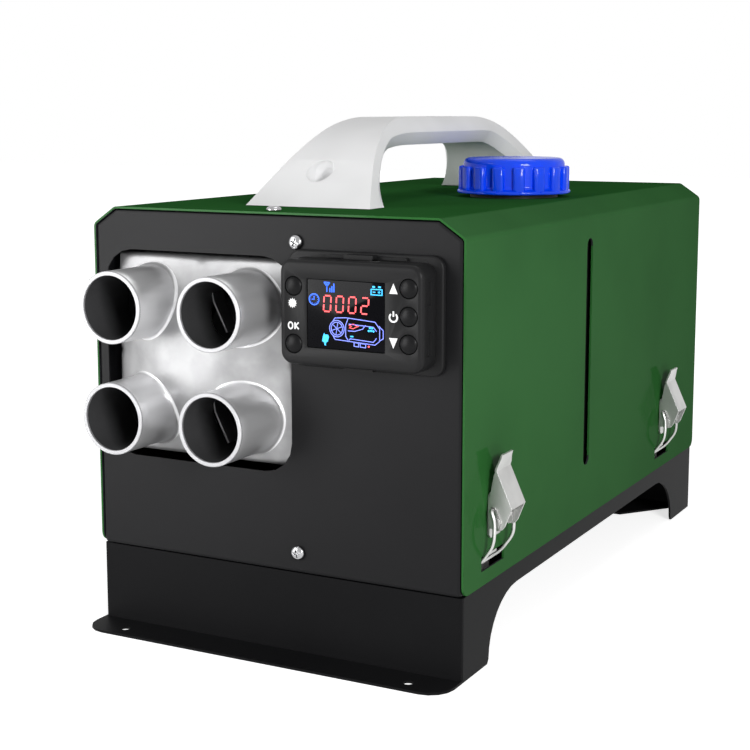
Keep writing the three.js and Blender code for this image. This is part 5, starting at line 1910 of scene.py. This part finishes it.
    def _spokes(self, centre: Point2, inner: float, outer: float, angles: Iterable[float],
                width: float) -> Shapes:
        """Short strokes round a centre, each from one distance to another.

        Args:
            centre: The centre.
            inner: Where each begins.
            outer: Where each ends.
            angles: Their angles in degrees.
            width: Their width.

        Returns:
            The outlines.
        """
        shapes = []
        for angle in angles:
            a = math.radians(angle)
            ends = [(centre[0] + r * math.cos(a), centre[1] + r * math.sin(a))
                    for r in (inner, outer)]
            shapes.append(stroke(ends, width))
        return shapes

    def _display(self) -> None:
        """Everything the display shows."""
        y = -self.front + self.screen_sink
        self._sign("display_digits", self._digits(), y, Finish.RED)
        self._sign("display_drawing", self._drawing(), y, Finish.LINES)
        self._sign("display_clock", self._clock(), y, Finish.BLUE)
        self._sign("display_icons", self._icons(), y, Finish.CYAN)

    def _digits(self) -> Shapes:
        """The seven-segment digits 0002, with the small flame and dot.

        Returns:
            The outlines.
        """
        shapes = []
        lit = {"0": "abcdef", "2": "abdeg"}
        ends = {"a": ((-1, 1), (1, 1)), "b": ((1, 1), (1, 0)), "c": ((1, 0), (1, -1)),
                "d": ((-1, -1), (1, -1)), "e": ((-1, 0), (-1, -1)), "f": ((-1, 1), (-1, 0)),
                "g": ((-1, 0), (1, 0))}
        wide, tall, bar, slant = 4.3, 8.6, 0.85, 0.06
        first, level = self.digits_at
        for i, digit in enumerate("0002"):
            cx, cz = self.at(first + self.digit_step * i, level)
            for segment in lit[digit]:
                a, b = ((cx + x * wide / 2 + slant * z * tall / 2, cz + z * tall / 2)
                        for x, z in ends[segment])
                shapes.append(stroke(shortened(a, b, 0.5), bar))
        flame = ((0.545, 0.64), (0.6, 0.615), (0.635, 0.64), (0.67, 0.645),
                 (0.635, 0.66), (0.6, 0.685), (0.55, 0.675), (0.575, 0.655))
        shapes += self._drawn([(*flame, flame[0])], 0.4)
        shapes.append(arc(self.at(0.8, 0.93), 0.6, 0, 337, 14))
        return shapes

    def _drawing(self) -> Shapes:
        """The line drawing of a heater.

        Returns:
            The outlines.
        """
        lines = [
            [(0.36, 0.545), (0.5, 0.53), (0.88, 0.565), (0.94, 0.66), (0.94, 0.84), (0.88, 0.9),
             (0.36, 0.86), (0.33, 0.8)],
            [(0.36, 0.545), (0.33, 0.6)],
            [(0.53, 0.545), (0.5, 0.64), (0.5, 0.8), (0.53, 0.86)],
            [(0.53, 0.72), (0.62, 0.72), (0.72, 0.68), (0.76, 0.62)],
            [(0.54, 0.62), (0.86, 0.64), (0.9, 0.7)],
            [(0.54, 0.86), (0.56, 0.835), (0.86, 0.86), (0.9, 0.8)],
            [(0.93, 0.62), (0.985, 0.68), (0.985, 0.8), (0.93, 0.84)],
            [(0.61, 0.885), (0.67, 0.89), (0.67, 0.945), (0.61, 0.94), (0.61, 0.885)],
            [(0.69, 0.892), (0.76, 0.897), (0.76, 0.95), (0.69, 0.945), (0.69, 0.892)],
        ]
        shapes = self._drawn(lines, 0.42)
        wheel = self.at(0.385, 0.7)
        shapes += [stroke(arc(wheel, r, 0, 359, 32), 0.42) for r in (4.5, 3.5)]
        shapes += self._spokes(wheel, 3.1, -3.1, (20, 80, 140), 0.36)
        return shapes

    def _clock(self) -> Shapes:
        """The clock and the aerial with its bars.

        Returns:
            The outlines.
        """
        clock = self.at(0.085, 0.29)
        shapes = [stroke(arc(clock, 3.0, 0, 359, 28), 0.6),
                  stroke([(clock[0], clock[1] + 1.8), clock, (clock[0] - 1.5, clock[1])], 0.5)]
        shapes += self._spokes(clock, 2.1, 2.5, range(0, 360, 30), 0.28)
        aerial = [[(0.215, 0.03), (0.295, 0.03)], [(0.255, 0.03), (0.255, 0.17)],
                  [(0.22, 0.035), (0.255, 0.085), (0.29, 0.035)]]
        shapes += self._drawn(aerial, 0.6)
        bars = [[(0.295 + 0.026 * i, 0.17), (0.295 + 0.026 * i, top)]
                for i, top in enumerate((0.11, 0.08, 0.04))]
        shapes += self._drawn(bars, 0.7)
        return shapes

    def _icons(self) -> Shapes:
        """The battery, pump and small lit marks.

        Returns:
            The outlines.
        """
        case = [(0.83, 0.09), (0.97, 0.09), (0.97, 0.17), (0.83, 0.17), (0.83, 0.09)]
        shapes = self._drawn([case], 0.55)
        shapes += self._drawn([[(u, 0.055), (u + 0.035, 0.055)] for u in (0.845, 0.92)], 0.9)
        shapes += self._drawn([[(0.85, 0.13), (0.885, 0.13)], [(0.915, 0.13), (0.95, 0.13)],
                               [(0.9325, 0.112), (0.9325, 0.148)]], 0.45)
        pump = [(0.2, 0.83), (0.215, 0.775), (0.225, 0.8), (0.265, 0.8), (0.28, 0.83),
                (0.265, 0.9), (0.24, 0.92), (0.24, 0.96), (0.22, 0.96), (0.22, 0.92),
                (0.19, 0.9)]
        shapes.append([self.at(u, v) for u, v in pump])
        for u, v in ((0.815, 0.655), (0.845, 0.655), (0.8, 0.7), (0.83, 0.695), (0.86, 0.7)):
            shapes.append(arc(self.at(u, v), 0.62, 0, 330, 11))
        shapes += self._drawn([[(0.56, 0.8), (0.6, 0.8)]], 0.7)
        return shapes


def shortened(a: Point2, b: Point2, gap: float) -> list[Point2]:
    """A line between two points that stops short of both by a gap.

    Args:
        a: First point.
        b: Second point.
        gap: How far the line stops short of them.

    Returns:
        The line's two ends.
    """
    length = math.hypot(b[0] - a[0], b[1] - a[1])
    t = gap / length
    return [(a[0] + (b[0] - a[0]) * t, a[1] + (b[1] - a[1]) * t),
            (b[0] - (b[0] - a[0]) * t, b[1] - (b[1] - a[1]) * t)]


def stroke(points: Sequence[Point2], width: float, squash: float = 1.0) -> list[Point2]:
    """The outline of a line of even width.

    Args:
        points: The line's points.
        width: Its width.
        squash: Stretch of the line along Z about its middle.

    Returns:
        The outline.
    """
    middle = sum(z for _, z in points) / len(points)
    line = [Vector((x, middle + (z - middle) * squash)) for x, z in points]
    left, right = [], []
    for i, point in enumerate(line):
        ways = []
        if i > 0:
            ways.append((point - line[i - 1]).normalized())
        if i + 1 < len(line):
            ways.append((line[i + 1] - point).normalized())
        way = sum(ways, Vector((0, 0))).normalized()
        normal = Vector((-way.y, way.x))
        grow = width / 2 / max(normal.dot(Vector((-ways[0].y, ways[0].x))), 0.5)
        left.append(tuple(point + normal * grow))
        right.append(tuple(point - normal * grow))
    return [*left, *reversed(right)]


# ---- fasteners
@dataclass
class PanScrews:
    """Pan-head screws with a cross recess."""

    bench: Bench
    head: float = 4.3
    rim: float = 0.5
    dome: float = 2.6
    dome_power: float = 0.7  # below 1, the dome's side is fuller than a circle's
    shank: float = 1.9
    shank_length: float = 8.0
    slot_width: float = 1.0
    slot_length: float = 4.6
    slot_depth: float = 1.7
    slot_above: float = 0.4
    edge: float = 0.12
    around: int = 48
    screws: tuple[tuple[str, Point3, Vector, float], ...] = (  # (node, seat, way, turn)
        ("panel_screw_top", (18.4, -0.3, 240), FORWARD, 24),
        ("panel_screw_bottom", (18.4, -0.3, 61), FORWARD, -31),
        ("top_screw", (-1.5, 9, 256.6), UP, 12),
        ("handle_screw_front", (0, 56, 254.8), -UP, 40),
        ("handle_screw_rear", (0, 320, 254.8), -UP, 5))

    def build(self) -> None:
        """Makes the screws of the front panel, the case top and the handle."""
        for node, seat, way, turn in self.screws:
            self._screw(node, place(*seat), way, turn)

    def _screw(self, node: str, seat: Vector, axis: Vector, turn: float) -> None:
        """One screw.

        Args:
            node: The CAD node it stands for.
            seat: Middle of the head's underside.
            axis: The way the head points.
            turn: How far the recess is turned, in degrees.
        """
        bench = self.bench
        crown = [(self.head * math.cos(math.radians(a)) ** self.dome_power,
                  self.rim + (self.dome - self.rim) * math.sin(math.radians(a)))
                 for a in range(0, 90, 9)]
        profile = [(0, -self.shank_length), (self.shank, -self.shank_length), (self.shank, 0),
                   (self.head, 0), *crown, (0, self.dome)]
        screw = bench.lathe(f"{node}_head", profile, seat, axis, self.around)
        bench.boolean(screw, [self._blade(seat, axis, turn), self._blade(seat, axis, turn + 90)])
        bench.weld(screw)
        bench.soften(screw, self.edge, 2, CREASE)
        bench.dress(screw, Finish.CHROME, "body", [node], CREASE)

    def _blade(self, seat: Vector, axis: Vector, turn: float) -> Object:
        """One of the two blades that cut a head's recess.

        Args:
            seat: Middle of the head's underside.
            axis: The way the head points.
            turn: How far the blade is turned, in degrees.

        Returns:
            The blade.
        """
        side = axis.orthogonal().normalized()
        spin = Matrix.Rotation(math.radians(turn), 3, axis)
        u = spin @ side * (self.slot_length / 2 * MM)
        v = spin @ side.cross(axis) * (self.slot_width / 2 * MM)
        top = seat + axis * ((self.dome + self.slot_above) * MM)
        corners = [top + u + v, top - u + v, top - u - v, top + u - v]
        return self.bench.outline("blade", corners,
                                  -axis * (self.slot_depth + self.slot_above) * MM)


# ---- latches
class Side(Enum):
    """The two long sides of the case."""

    RIGHT = 1
    LEFT = -1


@dataclass
class DrawLatches:
    """Four over-centre latches: plate, lever, wire bail and the hook in the base."""

    bench: Bench
    case_half: float = 122.5
    places: tuple[tuple[str, float, Side], ...] = (
        ("front_right", 40.0, Side.RIGHT), ("rear_right", 355.0, Side.RIGHT),
        ("front_left", 40.0, Side.LEFT), ("rear_left", 355.0, Side.LEFT))
    plate_edge: float = 0.2
    hook_edge: float = 0.25
    lever_edge: float = 0.3
    pivot_z: float = 85.4
    pivot_out: float = 5.5
    bail_in: float = 1.6
    bail_up: float = 7.1
    half: float = 10.0  # half the lever's width
    end: float = 1.5  # how far the bail's ends reach into the lever's wings
    lever_gap: float = 1.4  # room between the lever's wing and the bail's leg
    wire: float = 1.1
    wire_crease: float = 50.0  # edges of the wire sharper than this stay crisp, in degrees
    bar_z: float = 62.0
    bar_depth: float = 2.2
    bar_gap: float = 28.0

    def build(self) -> None:
        """Makes the four latches."""
        look = self.bench.rounded
        for name, y, side in self.places:
            look(f"latch_plate_{name}", Finish.ZINC, self.plate_edge)
            look(f"latch_hook_{name}", Finish.ZINC, self.hook_edge)
            look(f"latch_lever_{name}", Finish.ZINC, self.lever_edge, f"lever_{name}", 3)
            self._bail(name, y, side)

    def _bail(self, name: str, y: float, side: Side) -> None:
        """The wire bail, from one wing of the lever round the hook to the other.

        Args:
            name: The latch's place.
            y: Middle of the latch.
            side: The side of the case.
        """
        path = [*self._leg(-1), *reversed(self._leg(1))]
        points = [place(side.value * (self.case_half + u), y + v, h) for u, v, h in path]
        bail = self.bench.wire(f"latch_bail_{name}_wire", points, self.wire, 6, 4)
        self.bench.dress(bail, Finish.ZINC, f"bail_{name}", [f"latch_bail_{name}"],
                         self.wire_crease)

    def _leg(self, s: int) -> list[Point3]:
        """One leg of the bail, as distance off the case, along it, and height.

        Args:
            s: -1 for the leg in front and 1 for the one behind.

        Returns:
            The leg's points, from the lever down to the middle of the hook.
        """
        x, z = self.pivot_out - self.bail_in, self.pivot_z + self.bail_up
        top = self.half + self.wire + self.lever_gap
        low = self.bar_gap / 2
        return [(x, s * (self.half - self.end), z),
                (x, s * (top - 0.6), z),
                (x + 0.9, s * (top + 0.5), z - 1.2),
                (x + 2.6, s * (top + 0.9), self.pivot_z),
                (x + 2.2, s * (low + 0.3), self.pivot_z - 11),
                (1.6, s * low, self.bar_z + 4.6),
                (0.4 - self.bar_depth, s * (low - 0.3), self.bar_z + 0.5),
                (-self.bar_depth, s * (low - 2.2), self.bar_z)]


# ---- rear and inside
@dataclass
class RearFittings:
    """The air intake's guard and the power inlet."""

    bench: Bench
    x: float = -49.7
    z: float = 168.9
    face: float = 437.3
    rings: tuple[Point2, ...] = ((47.0, 54.0), (34.2, 36.6), (22.4, 24.8))  # (inner, outer)
    hub: float = 13.2
    thick: float = 2.5
    edge: float = 0.7
    around: int = 96
    spokes: int = 10
    spoke_from: float = 8.0
    spoke_to: float = 50.0
    spoke_half: float = 1.2
    spoke_edge: float = 0.4
    sunk: float = 0.1  # how much thinner the spokes are at each face
    inlet_edge: float = 0.4

    def build(self) -> None:
        """Makes the guard and dresses the inlet."""
        bench = self.bench
        centre = place(self.x, self.face, self.z)
        t, edge = self.thick, self.edge
        profiles = [[(inner, 0), (outer, 0), (outer, t - edge), (outer - edge, t),
                     (inner + edge, t), (inner, t - edge)] for inner, outer in self.rings]
        profiles.append([(0, 0), (self.hub, 0), (self.hub, t - edge), (self.hub - edge, t),
                         (0, t)])
        rings = [bench.lathe("guard_ring", profile, centre, BACKWARD, self.around)
                 for profile in profiles]
        low = place(self.x + self.spoke_from, self.face + self.sunk, self.z - self.spoke_half)
        high = place(self.x + self.spoke_to, self.face + t - self.sunk, self.z + self.spoke_half)
        spoke = bench.block("spoke", low, high)
        bench.soften(spoke, self.spoke_edge)
        guard = bench.merge(*rings, bench.ring_of(spoke, self.spokes, centre, "Y"))
        guard.name = "intake_guard"
        bench.dress(guard, Finish.NYLON, "body", ["intake_grille"], CREASE)
        bench.rounded("power_socket", Finish.CONTROL, self.inlet_edge, segments=3)


@dataclass
class InnerParts:
    """Everything behind the panels: burner, blower, tank, pump, pipes and hoses."""

    bench: Bench
    edge: float = 0.3
    seal_edge: float = 0.4
    rotor_edge: float = 0.25
    hose_edge: float = 0.2
    hose_angle: float = 70.0  # a hose's own facets are left as they are
    fixed: tuple[tuple[str, Finish], ...] = (
        ("controller_board", Finish.BOARD), ("fuel_pump", Finish.STEEL),
        ("pump_clamp", Finish.RUBBER), ("fuel_filter", Finish.NYLON),
        ("burner_tube", Finish.STEEL), ("glow_plug", Finish.STEEL),
        ("blower_motor", Finish.STEEL), ("control_unit", Finish.CAST),
        ("heat_exchanger", Finish.SOOT_AND_SHADE), ("heater_casing", Finish.NYLON),
        ("filler_neck", Finish.NYLON), ("fuel_tank", Finish.TANK))
    pipes: tuple[tuple[str, Finish], ...] = (
        ("exhaust_pipe", Finish.STEEL), ("intake_pipe", Finish.RUBBER))
    rotor: tuple[tuple[str, Finish], ...] = (
        ("motor_shaft", Finish.STEEL), ("hot_air_fan", Finish.NYLON),
        ("combustion_fan", Finish.NYLON))
    hoses: tuple[str, ...] = ("fuel_hose", "burner_hose")

    def build(self) -> None:
        """Dresses the inner pieces and breaks their edges."""
        look = self.bench.rounded
        for node, finish in self.fixed:
            look(node, finish, self.edge)
        look("cap_seal", Finish.RUBBER, self.seal_edge, "cap_seal")
        for node, finish in self.pipes:
            look(node, finish, self.edge)
        for node, finish in self.rotor:
            look(node, finish, self.rotor_edge, "fan_rotor")
        for node in self.hoses:
            look(node, Finish.RUBBER, self.hose_edge, angle=self.hose_angle)


# ---- studio
@dataclass(frozen=True)
class Lamp:
    """A soft rectangular lamp, in metres and watts."""

    name: str
    at: Point3
    to: Point3
    width: float
    height: float
    watts: float
    lean: float = 0.0  # how far it is turned about its own axis, in degrees

    def hang(self) -> None:
        """Hangs the lamp, which the camera doesn't see."""
        data = bpy.data.lights.new(self.name, "AREA")
        data.shape = "RECTANGLE"
        data.size, data.size_y, data.energy = self.width, self.height, self.watts
        lamp = bpy.data.objects.new(self.name, data)
        lamp.location = self.at
        aim = (Vector(self.to) - Vector(self.at)).to_track_quat("-Z", "Y").to_matrix()
        lean = Matrix.Rotation(math.radians(self.lean), 3, "Z")
        lamp.rotation_euler = (aim @ lean).to_euler()
        lamp.visible_camera = False
        bpy.context.scene.collection.objects.link(lamp)


@dataclass
class Studio:
    """Floor, soft lights and the camera."""

    bench: Bench
    camera_at: Point3 = (0.4562, -0.9376, 0.3138)
    yaw: float = 27.78
    pitch: float = 8.48
    lens: float = 73.72
    sensor: float = 36.0
    shift_y: float = -0.05
    room: float = 0.16  # the room's light on the heater
    floor_size: float = 12.0
    floor_drop: float = 0.0004  # how far the floor lies below the heater's feet
    floor_colour: Colour = (0.82, 0.82, 0.82)
    white: Colour = (1.0, 1.0, 1.0)
    glow_near: float = 0.72  # the floor's glow beside the heater
    glow_from: float = 0.35  # distance from the heater's middle where it begins to grow
    glow_to: float = 1.1  # distance where it is full
    lamps: tuple[Lamp, ...] = (
        Lamp("key_left", (-1.5, -1.7, 1.05), (-0.05, -0.2, 0.2), 1.1, 0.9, 14),
        Lamp("left_card", (-0.76, -1.06, 0.1), (0.0, -0.2, 0.2), 0.5, 1.0, 13, -30),
        Lamp("side_right", (1.25, -1.05, 0.62), (0.1, -0.1, 0.16), 0.5, 0.4, 20),
        Lamp("overhead", (0.2, 0.3, 1.8), (0.1, 0.1, 0.2), 0.9, 0.7, 4.5))

    def build(self) -> None:
        """Sets the whole studio up."""
        self._floor()
        self._world()
        self._camera()
        for lamp in self.lamps:
            lamp.hang()

    def _seen(self, wiring: Wiring) -> Field:
        """1 for rays that show the background: camera, glossy and transmission rays.

        Args:
            wiring: The nodes of the floor or the world.

        Returns:
            The mask.
        """
        path = wiring.node("ShaderNodeLightPath")
        camera, glossy, through_glass = (Field(wiring, path.outputs[f"Is {kind} Ray"])
                                         for kind in ("Camera", "Glossy", "Transmission"))
        return (camera + glossy + through_glass).limited()

    def _floor(self) -> None:
        """A pale floor that shows white away from the heater and keeps its shadow."""
        self.bench.start()
        bpy.ops.mesh.primitive_plane_add(size=self.floor_size, location=(0, 0, -self.floor_drop))
        floor = bpy.context.object
        floor.name = "studio_floor"
        bpy.ops.object.transform_apply(location=True)
        recipe = Recipe("studio_white", "ShaderNodeAddShader")
        x, y, _ = recipe.split()
        away = ((x * x + y * y) ** 0.5).ramp(self.glow_from, self.glow_to)
        strength = self._seen(recipe.wiring) * (away * (1 - self.glow_near) + self.glow_near)
        paint = recipe.wiring.node("ShaderNodeBsdfDiffuse", {"Color": self.floor_colour})
        glow = recipe.wiring.node("ShaderNodeEmission",
                                  {"Color": self.white, "Strength": strength})
        for socket, part in zip(recipe.shader.inputs, (paint, glow)):
            recipe.wiring.feed(socket, part.outputs[0])
        floor.data.materials.append(recipe.material)

    def _world(self) -> None:
        """A soft grey room that is white to the camera, in metal and through glass."""
        world = bpy.data.worlds.new("studio")
        bpy.context.scene.world = world
        world.use_nodes = True
        wiring = Wiring(world.node_tree)
        dim, full = (wiring.node("ShaderNodeBackground", {"Color": self.white, "Strength": light})
                     for light in (self.room, 1.0))
        mix = wiring.node("ShaderNodeMixShader",
                          {0: self._seen(wiring), 1: dim.outputs[0], 2: full.outputs[0]})
        wiring.node("ShaderNodeOutputWorld", {0: mix.outputs[0]})

    def _camera(self) -> None:
        """The camera at the photograph's place."""
        data = bpy.data.cameras.new("camera")
        data.lens = self.lens
        data.sensor_width = self.sensor
        data.shift_y = self.shift_y
        camera = bpy.data.objects.new("camera", data)
        camera.location = self.camera_at
        camera.rotation_euler = (math.radians(90 - self.pitch), 0, math.radians(self.yaw))
        bpy.context.scene.collection.objects.link(camera)
        bpy.context.scene.camera = camera


def main() -> None:
    """Loads the frame, builds every sub-assembly and sets the studio up."""
    logging.basicConfig(level=logging.INFO, format="%(name)s: %(message)s")
    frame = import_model()
    bench = Bench(frame, Paints())
    for assembly in (SheetCase, CarryHandle, FuelCap, AirManifold, Controller, PanScrews,
                     DrawLatches, RearFittings, InnerParts, Studio):
        LOG.info("building %s", assembly.__name__)
        assembly(bench).build()
    bpy.context.scene.view_settings.view_transform = "Standard"


if __name__ == "__main__":
    main()
